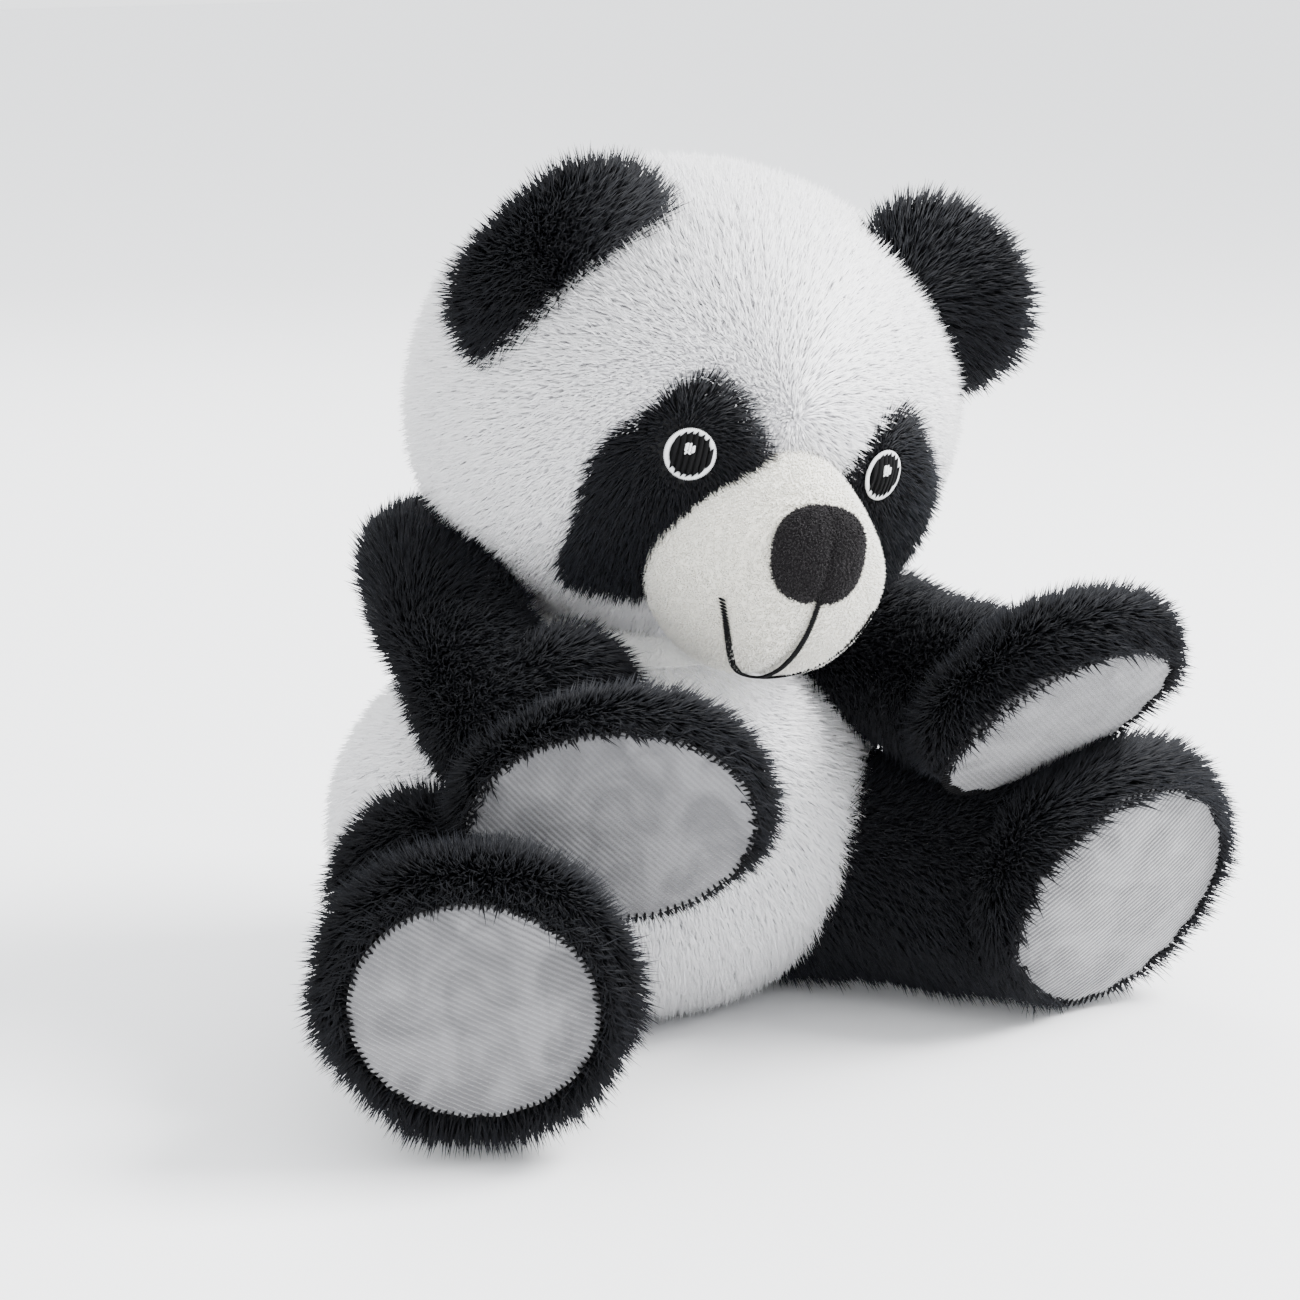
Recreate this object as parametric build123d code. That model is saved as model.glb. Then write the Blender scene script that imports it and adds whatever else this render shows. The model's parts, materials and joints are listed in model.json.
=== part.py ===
"""Sitting plush panda, millimetres.

Frame: the origin is the centre of the flat underside of the seat, +Z is up, the panda faces -Y and
its left side is +X.  Every soft piece is a closed solid: the covers are shells as thick as the
cloth with its pile, and the stuffing fills them with a small gap.
"""
from build123d import *
from math import cos, radians, sin
import os

# ---- cloth and clearances -------------------------------------------------------------------
COVER = 6.0            # cloth with its pile
FILL_GAP = 0.2         # stuffing to cover
MOVE_GAP = 0.6         # between pieces that move past each other
SEAM_RIM = 3.0         # cover left showing round a pad

# ---- body -----------------------------------------------------------------------------------
BODY_SEMI = (83.0, 69.0, 60.0)
BODY_CENTRE_HEIGHT = 52.0      # above the seat, which is cut flat
SIDE_SEAM_DEPTH = {"right": -23.0, "left": -20.0}  # side seams of the body, ahead of its middle
SEAT_HEM = 1.0                 # seam allowance round the seat panel
POUCH_RADIUS = 20.0            # bean pouch in the bottom of the stuffing
POUCH_HEIGHT = 12.0
POUCH_BED = 0.4                # from the seat's stuffing gap up to the pouch
LABEL_WIDTH = 16.0             # height of the folded label along the back seam
LABEL_LENGTH = 20.0
LABEL_THICKNESS = 0.8
LABEL_TUCK = 5.3               # length held inside the seam
LABEL_HEIGHT = 26.0            # above the seat

# ---- neck: concentric balls about one pivot ---------------------------------------------------
NECK_PIVOT = (4.0, -8.0, 84.0)
NECK_BALL_RADIUS = 44.0        # body stuffing bulging through the neck opening
NECK_LAYER = 2.4               # seam band and neck stuffing that turn on the ball
NECK_STUFFING_ANGLE = 33.0     # edge of the neck stuffing, from the top of the ball
SEAM_BAND_ANGLES = (34.0, 60.0)  # edges of the band, from the top of the ball

# ---- head -----------------------------------------------------------------------------------
HEAD_CENTRE = (16.0, -16.0, 174.0)
HEAD_SEMI = (81.0, 69.0, 70.0)
HEAD_TURN = (4.0, 10.0, -6.0)  # nod, side tilt and turn of the head as it sits
GUSSET_WIDTH = 56.0            # strip from the brow over the crown to the nape
MUZZLE_CENTRE = (0.0, -57.0, -27.0)
MUZZLE_SEMI = (33.0, 33.0, 30.0)
NOSE_SEMI = (13.5, 8.0, 13.5)
NOSE_RISE = 7.0                # above the muzzle centre
NOSE_SINK = 2.0                # nose centre behind the muzzle's surface
MOUTH_WIDTH = 24.0             # from the middle to a corner
MOUTH_THREAD = 2.0
MOUTH_THREAD_TAPER = 0.01      # over one stitch, so that neighbouring stitches overlap cleanly
MOUTH_LINE = (16.0, 32.0, 48.0, 64.0)  # down the muzzle, in degrees below straight ahead
MOUTH_CURVE = ((0.0, 64.0), (0.45, 60.0), (0.8, 46.0), (1.0, 26.0))  # share across, degrees down
PATCH_CENTRE = (34.0, -14.0)   # across and up from the head centre
PATCH_SEMI = (20.0, 33.0)
PATCH_TILT = 20.0
PATCH_THICKNESS = 2.5
EYE_PLACE = (30.0, -2.5)
EYE_RADIUS = 7.5
EYE_RING_WIDTH = 1.4
EYE_THICKNESS = 1.2
GLINT_PLACE = (-1.9, 1.9)      # from the middle of the eye
GLINT_RADIUS = 1.3
GLINT_RISE = 0.4               # above the pupil

# ---- ears -----------------------------------------------------------------------------------
EAR_LENGTH = 56.0              # along the seam to the head
EAR_HEIGHT = 28.0
EAR_THICKNESS = 10.0
EAR_PLACE = (58.0, -22.0, 37.0)   # middle of the seam line, on the +X side
EAR_SEAM = (-34.0, -4.0, 38.0)    # direction of the seam line, on the +X side
EAR_SWING = 15.0
EAR_SWING_SPARE = 2.0          # slot beyond the swing

# ---- arms and legs --------------------------------------------------------------------------
SHOULDER = (62.0, 4.0, 91.0)
SHOULDER_RADIUS = 17.0
ELBOW_RADIUS = 23.0
ELBOWS = {"right": (-73.0, -50.0, 99.0), "left": (79.0, -57.0, 87.0)}
FOREARM_STEP = 0.5             # forearm slimmer than the upper arm and the paw that it joins
WRIST_SET_BACK = {"right": 1.0, "left": 0.6}  # share of the paw's length beyond its width
PAW_SEMI = (43.0, 32.0, 23.0)  # along, across and through the paw
PAW_PAD_DEPTH = 8.0            # pad plane ahead of the paw centre
SHOULDER_TILT = {"right": 40.0, "left": 55.0}  # the arm's axis leans, so that it opens as it rises
SHOULDER_SWING = {"right": (0.0, 40.0), "left": (0.0, 28.0)}
HIP = (46.0, -14.0, 38.0)
HIP_RADIUS = 31.0
ANKLE_RADIUS = 30.0
FOOT_SEMI = (41.0, 38.0, 24.0)
FOOT_PAD_DEPTH = 10.0
HIP_SWING = (0.0, 14.0)        # outwards from the sitting pose, where the arms rest on the legs
LEG_ROOM_DROP = 15.5           # the body is open this far under a leg
LEG_DENT_STEP = 3.5            # step of the swing at which the arm's dent in the leg is cut
PAD_THICKNESS = 4.0
PAD_EDGE = 1.5
LIMB_SEAM_RISE = 2.0           # seam along the limb, above the middle of its pad

PADS = {  # pad centre, outward normal, direction of the long axis
    "right_arm": ((-56.0, -103.0, 84.0), (-0.52, -0.81, -0.29), (0.77, -0.53, 0.10)),
    "left_arm": ((78.0, -113.0, 96.0), (0.00, -0.69, -0.73), (0.25, -0.90, 0.35)),
    "right_leg": ((-108.0, -112.0, 41.0), (-0.52, -0.81, -0.20), (0.84, -0.54, 0.0)),
    "left_leg": ((104.0, -108.0, 41.0), (0.05, -0.92, -0.375), (1.0, 0.05, 0.0)),
}
SIDES = ("right", "left")
LIMBS = ("right_arm", "left_arm", "right_leg", "left_leg")
FAR = 400.0                    # larger than the object, for half spaces


# ---- helpers --------------------------------------------------------------------------------
def ellipsoid(semi, inset=0.0):
    """Ellipsoid about the origin, drawn in by a distance."""
    return scale(Sphere(1), by=tuple(s - inset for s in semi))


def half_space(plane):
    """Everything on the positive side of a plane."""
    return plane.location * Pos(0, 0, FAR / 2) * Box(FAR, FAR, FAR)


def beyond(point, direction):
    """Everything past a point in a direction."""
    return half_space(Plane(origin=point, z_dir=direction))


def capsule(start, start_radius, end, end_radius):
    """Two balls and the cone that is tangent to both, as one turned solid."""
    axis = Vector(end) - Vector(start)
    length = axis.length
    lean = (start_radius - end_radius) / length
    rise = (1 - lean**2) ** 0.5
    mid = cos(radians(45))
    tail, tip = -start_radius, length + end_radius
    near = (start_radius * lean, start_radius * rise)
    far = (length + end_radius * lean, end_radius * rise)
    with BuildPart() as turned:
        with BuildSketch():
            with BuildLine():
                ThreePointArc((tail, 0), (tail * mid, start_radius * mid), near)
                Line(near, far)
                ThreePointArc(far, (length + end_radius * mid, end_radius * mid), (tip, 0))
                Line((tip, 0), (tail, 0))
            make_face()
        revolve(axis=Axis.X)
    side = axis.cross(Vector(0, 0, 1))
    return Plane(origin=start, x_dir=axis, z_dir=side).location * turned.part


def mirrored(point, side):
    """A point given for the +X side, on the named side."""
    return (point[0] if side == "left" else -point[0], *point[1:])


def save(name, shape):
    """Write one node."""
    export_step(shape, os.path.join("parts", name + ".step"))


# ---- neck -----------------------------------------------------------------------------------
def neck_ball(grow=0.0):
    """Ball that the head turns on, let out by a distance."""
    return Pos(*NECK_PIVOT) * Sphere(NECK_BALL_RADIUS + grow)


def neck_layer(polar_from, polar_to):
    """Part of the layer on the neck ball between two angles from its top."""
    inner = NECK_BALL_RADIUS + MOVE_GAP / 2
    outer = inner + NECK_LAYER
    start, stop = radians(polar_from), radians(polar_to)
    middle = (start + stop) / 2

    def at(radius, angle):
        return (radius * sin(angle), radius * cos(angle))

    with BuildPart() as layer:
        with BuildSketch(Plane.XZ):
            with BuildLine():
                ThreePointArc(at(inner, start), at(inner, middle), at(inner, stop))
                Line(at(inner, stop), at(outer, stop))
                ThreePointArc(at(outer, stop), at(outer, middle), at(outer, start))
                Line(at(outer, start), at(inner, start))
            make_face()
        revolve(axis=Axis.Z)
    return Pos(*NECK_PIVOT) * layer.part


def build_neck():
    """Stuffing on top of the ball and the seam band round it."""
    save("neck_stuffing", neck_layer(0, NECK_STUFFING_ANGLE))
    save("neck_seam_band", neck_layer(*SEAM_BAND_ANGLES))


# ---- head -----------------------------------------------------------------------------------
def head_location():
    """Place of the head's own frame."""
    nod, tilt, turn = HEAD_TURN
    return Pos(*HEAD_CENTRE) * Rot(0, 0, turn) * Rot(nod, 0, 0) * Rot(0, tilt, 0)


def ear_plane(side):
    """Plane of an ear in the head's frame: x along the seam, y outwards, z to the front."""
    middle = Vector(*mirrored(EAR_PLACE, side))
    seam = Vector(*mirrored(EAR_SEAM, side)).normalized()
    outward = (middle - seam * middle.dot(seam)).normalized()
    along = seam if side == "right" else -seam
    return Plane(origin=middle, x_dir=along, z_dir=along.cross(outward))


def ear_blank():
    """Half-round flap with a round root along its seam line, in the ear's plane."""
    half = EAR_LENGTH / 2
    with BuildPart() as blank:
        with BuildSketch():
            with BuildLine():
                EllipticalCenterArc((0, 0), half, EAR_HEIGHT, 0, arc_size=180)
                Line((-half, 0), (half, 0))
            make_face()
        extrude(amount=EAR_THICKNESS / 2, both=True)
    root = Rot(0, 90, 0) * Cylinder(EAR_THICKNESS / 2, EAR_LENGTH)
    return blank.part + root


def ear_slot():
    """Room in the head for an ear's root over its whole swing, in the ear's plane."""
    half = EAR_THICKNESS / 2 + MOVE_GAP
    swing = radians(EAR_SWING + EAR_SWING_SPARE)
    flare = half + EAR_HEIGHT * sin(swing) / cos(swing)
    with BuildPart() as slot:
        with BuildSketch(Plane.YZ):
            Circle(half)
            Polygon((0, -half), (EAR_HEIGHT, -flare), (EAR_HEIGHT, flare), (0, half), align=None)
        extrude(amount=EAR_LENGTH / 2 + 2 * MOVE_GAP, both=True)
    return slot.part


def build_ears(place):
    """Front and back of each ear."""
    for side in SIDES:
        ear_place = place * ear_plane(side).location
        ear = ear_blank()
        save(f"{side}_ear_front", ear_place * (ear & beyond((0, 0, 0), (0, 0, 1))))
        save(f"{side}_ear_back", ear_place * (ear & beyond((0, 0, 0), (0, 0, -1))))


def eye_plane(sign):
    """Plane that touches the eye patch in the middle of an eye."""
    across, up = sign * EYE_PLACE[0], EYE_PLACE[1]
    a, b, c = (s + PATCH_THICKNESS for s in HEAD_SEMI)
    depth = -b * (1 - (across / a) ** 2 - (up / c) ** 2) ** 0.5
    return Plane(
        origin=(across, depth, up),
        x_dir=(1, 0, 0),
        z_dir=(across / a**2, depth / b**2, up / c**2),
    )


def eye_disc(radius, rise=0.0):
    """Flat round of embroidery in the plane of an eye."""
    return Pos(0, 0, -EYE_THICKNESS) * extrude(Circle(radius), 2 * EYE_THICKNESS + rise)


def build_eyes(place, muzzle):
    """Eye patches, and the ring, pupil and glint of each eye."""
    head = ellipsoid(HEAD_SEMI)
    patch_surface = ellipsoid(HEAD_SEMI, -PATCH_THICKNESS)
    across, up = PATCH_CENTRE
    for side, sign in (("right", -1), ("left", 1)):
        oval = Rot(90, 0, 0) * extrude(Rot(0, 0, sign * PATCH_TILT) * Ellipse(*PATCH_SEMI), FAR / 2)
        patch = (Pos(sign * across, 0, up) * oval) & patch_surface
        save(f"{side}_eye_patch", place * (patch - head - muzzle))

        eye = eye_plane(sign).location
        middle = eye_disc(EYE_RADIUS - EYE_RING_WIDTH)
        glint = Pos(*GLINT_PLACE, 0) * eye_disc(GLINT_RADIUS, GLINT_RISE)
        ring = eye_disc(EYE_RADIUS) - middle
        save(f"{side}_eye_ring", place * (eye * ring - patch_surface))
        save(f"{side}_eye_pupil", place * (eye * (middle - glint) - patch_surface))
        save(f"{side}_eye_glint", place * (eye * glint - patch_surface))


def mouth_stroke(points):
    """A row of thread from point to point, round in section."""
    radius = MOUTH_THREAD / 2
    stitches = [
        capsule(start, radius, end, radius - MOUTH_THREAD_TAPER)
        for start, end in zip(points, points[1:])
    ]
    row = stitches[0]
    for stitch in stitches[1:]:
        row += stitch
    return row


def on_muzzle(across, turn_down):
    """Point on the muzzle, across from its middle and turned down from straight ahead."""
    a, b, c = MUZZLE_SEMI
    ring = (1 - (across / a) ** 2) ** 0.5
    angle = radians(turn_down)
    x, y, z = MUZZLE_CENTRE
    return (x + across, y - b * ring * cos(angle), z - c * ring * sin(angle))


def build_muzzle(place, head):
    """Muzzle, nose and mouth; returns the muzzle's outer form."""
    muzzle_place = Pos(*MUZZLE_CENTRE)
    muzzle = muzzle_place * ellipsoid(MUZZLE_SEMI)
    inner = muzzle_place * ellipsoid(MUZZLE_SEMI, COVER)
    stuffing = muzzle_place * ellipsoid(MUZZLE_SEMI, COVER + FILL_GAP)
    save("muzzle_cover", place * (muzzle - inner - head))
    save("muzzle_stuffing", place * (stuffing - ellipsoid(HEAD_SEMI, -FILL_GAP)))

    x, y, z = MUZZLE_CENTRE
    front = MUZZLE_SEMI[1] * (1 - (NOSE_RISE / MUZZLE_SEMI[2]) ** 2) ** 0.5
    nose = Pos(x, y - front + NOSE_SINK, z + NOSE_RISE) * ellipsoid(NOSE_SEMI)
    save("nose", place * (nose - muzzle))

    mouth = mouth_stroke([on_muzzle(0, angle) for angle in MOUTH_LINE])
    for sign in (-1, 1):
        mouth += mouth_stroke([on_muzzle(sign * MOUTH_WIDTH * share, angle) for share, angle in MOUTH_CURVE])
    save("mouth_stitching", place * (mouth - muzzle - nose))
    return muzzle


def build_head():
    """Everything that the head carries."""
    place = head_location()
    head = ellipsoid(HEAD_SEMI)
    muzzle = build_muzzle(place, head)
    build_eyes(place, muzzle)
    build_ears(place)

    socket = place.inverse() * neck_ball(MOVE_GAP + NECK_LAYER + MOVE_GAP)
    shell = head - ellipsoid(HEAD_SEMI, COVER) - socket
    stuffing = ellipsoid(HEAD_SEMI, COVER + FILL_GAP) - socket
    for side in SIDES:
        slot = ear_plane(side).location * ear_slot()
        shell -= slot
        stuffing -= slot
    left_of = beyond((GUSSET_WIDTH / 2, 0, 0), (1, 0, 0))
    right_of = beyond((-GUSSET_WIDTH / 2, 0, 0), (-1, 0, 0))
    save("head_gusset", place * (shell - left_of - right_of))
    save("head_left_panel", place * (shell & left_of))
    save("head_right_panel", place * (shell & right_of))
    save("head_stuffing", place * stuffing)


# ---- body -----------------------------------------------------------------------------------
def above(height):
    """Everything over a height."""
    return beyond((0, 0, height), (0, 0, 1))


def body_form(inset=0.0):
    """Egg of the body, flat underneath, drawn in by a distance."""
    return Pos(0, 0, BODY_CENTRE_HEIGHT) * ellipsoid(BODY_SEMI, inset) & above(inset)


def seat_disc():
    """The flat underside, through the thickness of the cover."""
    share = (1 - (BODY_CENTRE_HEIGHT / BODY_SEMI[2]) ** 2) ** 0.5
    oval = Ellipse(BODY_SEMI[0] * share - SEAT_HEM, BODY_SEMI[1] * share - SEAT_HEM)
    return extrude(oval, COVER)


def build_label():
    """Folded ribbon caught in the seam down the back."""
    rise = (LABEL_HEIGHT - BODY_CENTRE_HEIGHT) / BODY_SEMI[2]
    seam_depth = BODY_SEMI[1] * (1 - rise**2) ** 0.5
    ribbon = Box(LABEL_THICKNESS, LABEL_LENGTH, LABEL_WIDTH)
    label = Pos(0, seam_depth + LABEL_LENGTH / 2 - LABEL_TUCK, LABEL_HEIGHT) * ribbon
    save("sewn_in_label", label - body_form())


def build_body(limb_rooms):
    """Covers, stuffing, pouch and label of the body, open where the limbs join it."""
    seat = seat_disc()
    shell = body_form() - body_form(COVER) - neck_ball(2 * MOVE_GAP + NECK_LAYER)
    stuffing = body_form(COVER + FILL_GAP) + (neck_ball() & above(NECK_PIVOT[2]))
    for room in limb_rooms:
        shell -= room
        stuffing -= room
    walls = shell - seat
    left = beyond((0, 0, 0), (1, 0, 0))
    back_left = beyond((0, SIDE_SEAM_DEPTH["left"], 0), (0, 1, 0)) & left
    back_right = beyond((0, SIDE_SEAM_DEPTH["right"], 0), (0, 1, 0)) - left
    save("seat_panel", seat)
    save("body_front_panel", walls - back_left - back_right)
    save("body_back_left_panel", walls & back_left)
    save("body_back_right_panel", walls & back_right)

    pouch_middle = Pos(0, 0, COVER + FILL_GAP + POUCH_BED + POUCH_HEIGHT / 2)
    pouch_room = Cylinder(POUCH_RADIUS + FILL_GAP, POUCH_HEIGHT + 2 * FILL_GAP)
    save("body_stuffing", stuffing - pouch_middle * pouch_room)
    save("bean_pouch", pouch_middle * Cylinder(POUCH_RADIUS, POUCH_HEIGHT))
    build_label()


# ---- limbs ----------------------------------------------------------------------------------
def limb_root(name):
    """Middle of the shoulder or hip, and its radius."""
    side, kind = name.split("_")
    point, radius = (SHOULDER, SHOULDER_RADIUS) if kind == "arm" else (HIP, HIP_RADIUS)
    return Vector(*mirrored(point, side)), radius


def limb_tip(name):
    """Half sizes of the paw or foot, and how far its pad plane lies ahead of its middle."""
    return (PAW_SEMI, PAW_PAD_DEPTH) if name.endswith("arm") else (FOOT_SEMI, FOOT_PAD_DEPTH)


def limb_swing(name):
    """Travel of a limb, in degrees."""
    side, kind = name.split("_")
    return SHOULDER_SWING[side] if kind == "arm" else HIP_SWING


def limb_end(name, back=PAD_THICKNESS / 2):
    """Plane across a limb's end, facing out, behind the middle of its pad."""
    centre, normal, along = PADS[name]
    end = Plane(origin=centre, x_dir=along, z_dir=normal)
    return Plane(origin=end.origin - end.z_dir * back, x_dir=end.x_dir, z_dir=end.z_dir)


def limb_form(name, inset=0.0):
    """Outer form of a limb before its pad end is cut flat, drawn in by a distance."""
    side, kind = name.split("_")
    semi, depth = limb_tip(name)
    root, root_radius = limb_root(name)
    end = limb_end(name, PAD_THICKNESS / 2 + depth)
    tip = end.location * ellipsoid(semi, inset)
    if kind == "leg":
        return capsule(root, root_radius - inset, end.origin, ANKLE_RADIUS - inset) + tip
    wrist = end.origin - end.x_dir * (semi[0] - semi[1]) * WRIST_SET_BACK[side]
    slim = inset + FOREARM_STEP
    upper = capsule(root, root_radius - inset, ELBOWS[side], ELBOW_RADIUS - inset)
    fore = capsule(ELBOWS[side], ELBOW_RADIUS - slim, wrist, semi[2] - slim)
    return upper + fore + tip


def pad_semi(name):
    """Half sizes of a pad, which leaves a rim of the cover showing."""
    semi, depth = limb_tip(name)
    share = (1 - (depth / semi[2]) ** 2) ** 0.5
    return semi[0] * share - SEAM_RIM, semi[1] * share - SEAM_RIM


def build_pad(name):
    """Velour pad on a limb's flat end."""
    side, kind = name.split("_")
    pad = extrude(Ellipse(*pad_semi(name)), PAD_THICKNESS)
    pad = fillet(pad.faces().sort_by(Axis.Z)[-1].edges(), PAD_EDGE)
    save(f"{side}_{'paw' if kind == 'arm' else 'sole'}_pad", limb_end(name).location * pad)


def build_limb(name, rooms):
    """Two covers, stuffing and pad of a limb, with rooms cut where another limb rests on it."""
    end = limb_end(name)
    cover = limb_form(name) - limb_form(name, COVER) - half_space(end)
    below = limb_end(name, PAD_THICKNESS / 2 + FILL_GAP)
    stuffing = limb_form(name, COVER + FILL_GAP) - half_space(below)
    for room in rooms:
        cover -= room
        stuffing -= room
    seam = end.origin + end.y_dir * LIMB_SEAM_RISE
    for panel, facing in (("outer", end.y_dir), ("inner", -end.y_dir)):
        save(f"{name}_{panel}_panel", cover & beyond(seam, facing))
    save(f"{name}_stuffing", stuffing)
    build_pad(name)


def swing_axis(name):
    """Axis that a limb swings about."""
    side, kind = name.split("_")
    root, _ = limb_root(name)
    turn = 1 if side == "left" else -1
    if kind == "leg":
        return Axis(root, (0, 0, turn))
    tilt = radians(SHOULDER_TILT[side])
    return Axis(root, (-cos(tilt), 0, turn * sin(tilt)))


def limb_room(name):
    """Flared room in the body for a limb's root over its whole swing."""
    side, kind = name.split("_")
    root, near = limb_root(name)
    low, high = limb_swing(name)
    if kind == "arm":
        along, far = Vector(*ELBOWS[side]), ELBOW_RADIUS
    else:
        along, far = Vector(*PADS[name][0]), FOOT_SEMI[1]
    swing = Axis((0, 0, 0), swing_axis(name).direction)
    toward = (along - root).rotate(swing, (low + high) / 2)
    flare = toward.length * sin(radians((high - low) / 2))
    return capsule(root, near + MOVE_GAP, root + toward, far + MOVE_GAP + flare)


def leg_dents(name):
    """The arm that rests on a leg, at each step of the leg's swing, as the leg meets it."""
    arm = limb_form(name.replace("leg", "arm"), -2 * MOVE_GAP)
    steps = round((HIP_SWING[1] - HIP_SWING[0]) / LEG_DENT_STEP)
    return [arm.rotate(swing_axis(name), -LEG_DENT_STEP * step) for step in range(steps + 1)]


def build_panda():
    """Write every node."""
    os.makedirs("parts", exist_ok=True)
    build_neck()
    build_head()
    rooms = [limb_room(name) for name in LIMBS]
    under_legs = [Pos(0, 0, -LEG_ROOM_DROP) * limb_room(name) for name in LIMBS if name.endswith("leg")]
    build_body(rooms + under_legs)
    for name in LIMBS:
        build_limb(name, leg_dents(name) if name.endswith("leg") else ())


build_panda()
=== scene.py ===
import json
import logging
from dataclasses import dataclass
from enum import Enum
from math import cos, pi, radians, sin
from typing import Iterable, Optional, Sequence

import bpy
import numpy as np
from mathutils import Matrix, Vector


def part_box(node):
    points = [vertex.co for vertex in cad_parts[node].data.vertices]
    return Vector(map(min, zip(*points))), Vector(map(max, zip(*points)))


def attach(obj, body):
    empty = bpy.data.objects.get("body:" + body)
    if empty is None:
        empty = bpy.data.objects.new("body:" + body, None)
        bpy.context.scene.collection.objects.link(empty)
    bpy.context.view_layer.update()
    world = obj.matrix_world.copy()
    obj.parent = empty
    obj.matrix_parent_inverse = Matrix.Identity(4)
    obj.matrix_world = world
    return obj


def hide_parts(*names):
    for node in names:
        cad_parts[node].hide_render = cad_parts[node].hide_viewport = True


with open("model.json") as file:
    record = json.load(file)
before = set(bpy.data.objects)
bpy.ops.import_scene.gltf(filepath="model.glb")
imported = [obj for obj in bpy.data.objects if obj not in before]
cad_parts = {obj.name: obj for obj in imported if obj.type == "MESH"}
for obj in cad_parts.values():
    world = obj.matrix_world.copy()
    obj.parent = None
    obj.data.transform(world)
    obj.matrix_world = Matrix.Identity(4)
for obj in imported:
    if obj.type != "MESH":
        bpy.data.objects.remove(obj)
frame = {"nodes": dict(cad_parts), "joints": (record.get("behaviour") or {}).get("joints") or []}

MM = 0.001
LOG = logging.getLogger("panda")
Point = tuple[float, float, float]


class Side(Enum):
    """The panda's own right and left."""

    RIGHT = -1
    LEFT = 1

    @property
    def word(self) -> str:
        """Name used in the pieces."""
        return self.name.lower()


class Stitch(Enum):
    """How the strands of a row of thread lie to the row."""

    SATIN = 62.0
    RADIAL = 90.0
    OVERLOCK = 75.0


# ---- vectors and forms ------------------------------------------------------------------------
def unit(vector: Sequence[float]) -> np.ndarray:
    """A vector at length one."""
    array = np.asarray(vector, float)
    return array / np.linalg.norm(array)


def turn(nod: float = 0, tilt: float = 0, yaw: float = 0) -> np.ndarray:
    """Rotation that tilts to the side, then nods, then yaws, in degrees."""
    a, b, c = radians(nod), radians(tilt), radians(yaw)
    about_x = np.array([[1, 0, 0], [0, cos(a), -sin(a)], [0, sin(a), cos(a)]])
    about_y = np.array([[cos(b), 0, sin(b)], [0, 1, 0], [-sin(b), 0, cos(b)]])
    about_z = np.array([[cos(c), -sin(c), 0], [sin(c), cos(c), 0], [0, 0, 1]])
    return about_z @ about_x @ about_y


def frame_of(along: Sequence[float], normal: Sequence[float]) -> np.ndarray:
    """Columns along, across and out of a surface that faces along its normal."""
    out = unit(normal)
    first = unit(np.asarray(along, float) - out * np.dot(along, out))
    return np.stack([first, np.cross(out, first), out], 1)


def smooth_step(values: np.ndarray, low: float, high: float) -> np.ndarray:
    """Zero below low, one above high, smooth between."""
    t = np.clip((values - low) / (high - low), 0, 1)
    return t * t * (3 - 2 * t)


@dataclass(frozen=True)
class Ball:
    """Ellipsoid of stuffed cloth."""

    centre: Point
    semi: Point
    axes: tuple = ((1, 0, 0), (0, 1, 0), (0, 0, 1))

    @property
    def matrix(self) -> np.ndarray:
        """Columns of the ellipsoid's own axes."""
        return np.array(self.axes)

    def height(self, points: np.ndarray) -> np.ndarray:
        """Distance above the surface, below zero inside."""
        local = (points - np.array(self.centre)) @ self.matrix
        share = np.linalg.norm(local / np.array(self.semi), axis=1)
        return np.linalg.norm(local, axis=1) * (1 - 1 / np.maximum(share, 1e-6))

    def grown(self, by: float) -> "Ball":
        """The ellipsoid let out by a distance."""
        return Ball(self.centre, tuple(s + by for s in self.semi), self.axes)

    def lumps(self) -> list["Ball"]:
        """Itself."""
        return [self]


@dataclass(frozen=True)
class Stem:
    """Round tapered stretch of a limb."""

    start: Point
    start_radius: float
    end: Point
    end_radius: float

    def height(self, points: np.ndarray) -> np.ndarray:
        """Distance above the surface, below zero inside."""
        start, axis = np.array(self.start), np.array(self.end) - np.array(self.start)
        share = np.clip((points - start) @ axis / (axis @ axis), 0, 1)
        radius = self.start_radius + (self.end_radius - self.start_radius) * share
        return np.linalg.norm(points - start - share[:, None] * axis, axis=1) - radius

    def grown(self, by: float) -> "Stem":
        """The stretch let out by a distance."""
        return Stem(self.start, self.start_radius + by, self.end, self.end_radius + by)

    def lumps(self, count: int = 9) -> list[Ball]:
        """Balls along the stretch."""
        found = []
        for share in np.linspace(0, 1, count):
            centre = tuple(np.array(self.start) * (1 - share) + np.array(self.end) * share)
            found.append(Ball(centre, (self.start_radius * (1 - share) + self.end_radius * share,) * 3))
        return found


@dataclass
class Form:
    """Soft union of balls and stems."""

    parts: list

    def height(self, points: np.ndarray) -> np.ndarray:
        """Distance above the nearest part."""
        return np.min([part.height(points) for part in self.parts], axis=0)

    def grown(self, by: float) -> "Form":
        """Every part let out by a distance."""
        return Form([part.grown(by) for part in self.parts])


# ---- meshes -------------------------------------------------------------------------------------
def mesh_object(name: str, points: np.ndarray, faces: Iterable, smooth: bool = True) -> bpy.types.Object:
    """A linked object from points in millimetres.

    Args:
        name: name of the piece.
        points: one row for each corner.
        faces: corner numbers of each face.
        smooth: shade across the faces.

    Returns:
        The new object, at the origin.
    """
    mesh = bpy.data.meshes.new(name)
    mesh.from_pydata((np.asarray(points) * MM).tolist(), [], [list(f) for f in faces])
    mesh.shade_smooth() if smooth else mesh.shade_flat()
    made = bpy.data.objects.new(name, mesh)
    bpy.context.scene.collection.objects.link(made)
    return made


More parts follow.
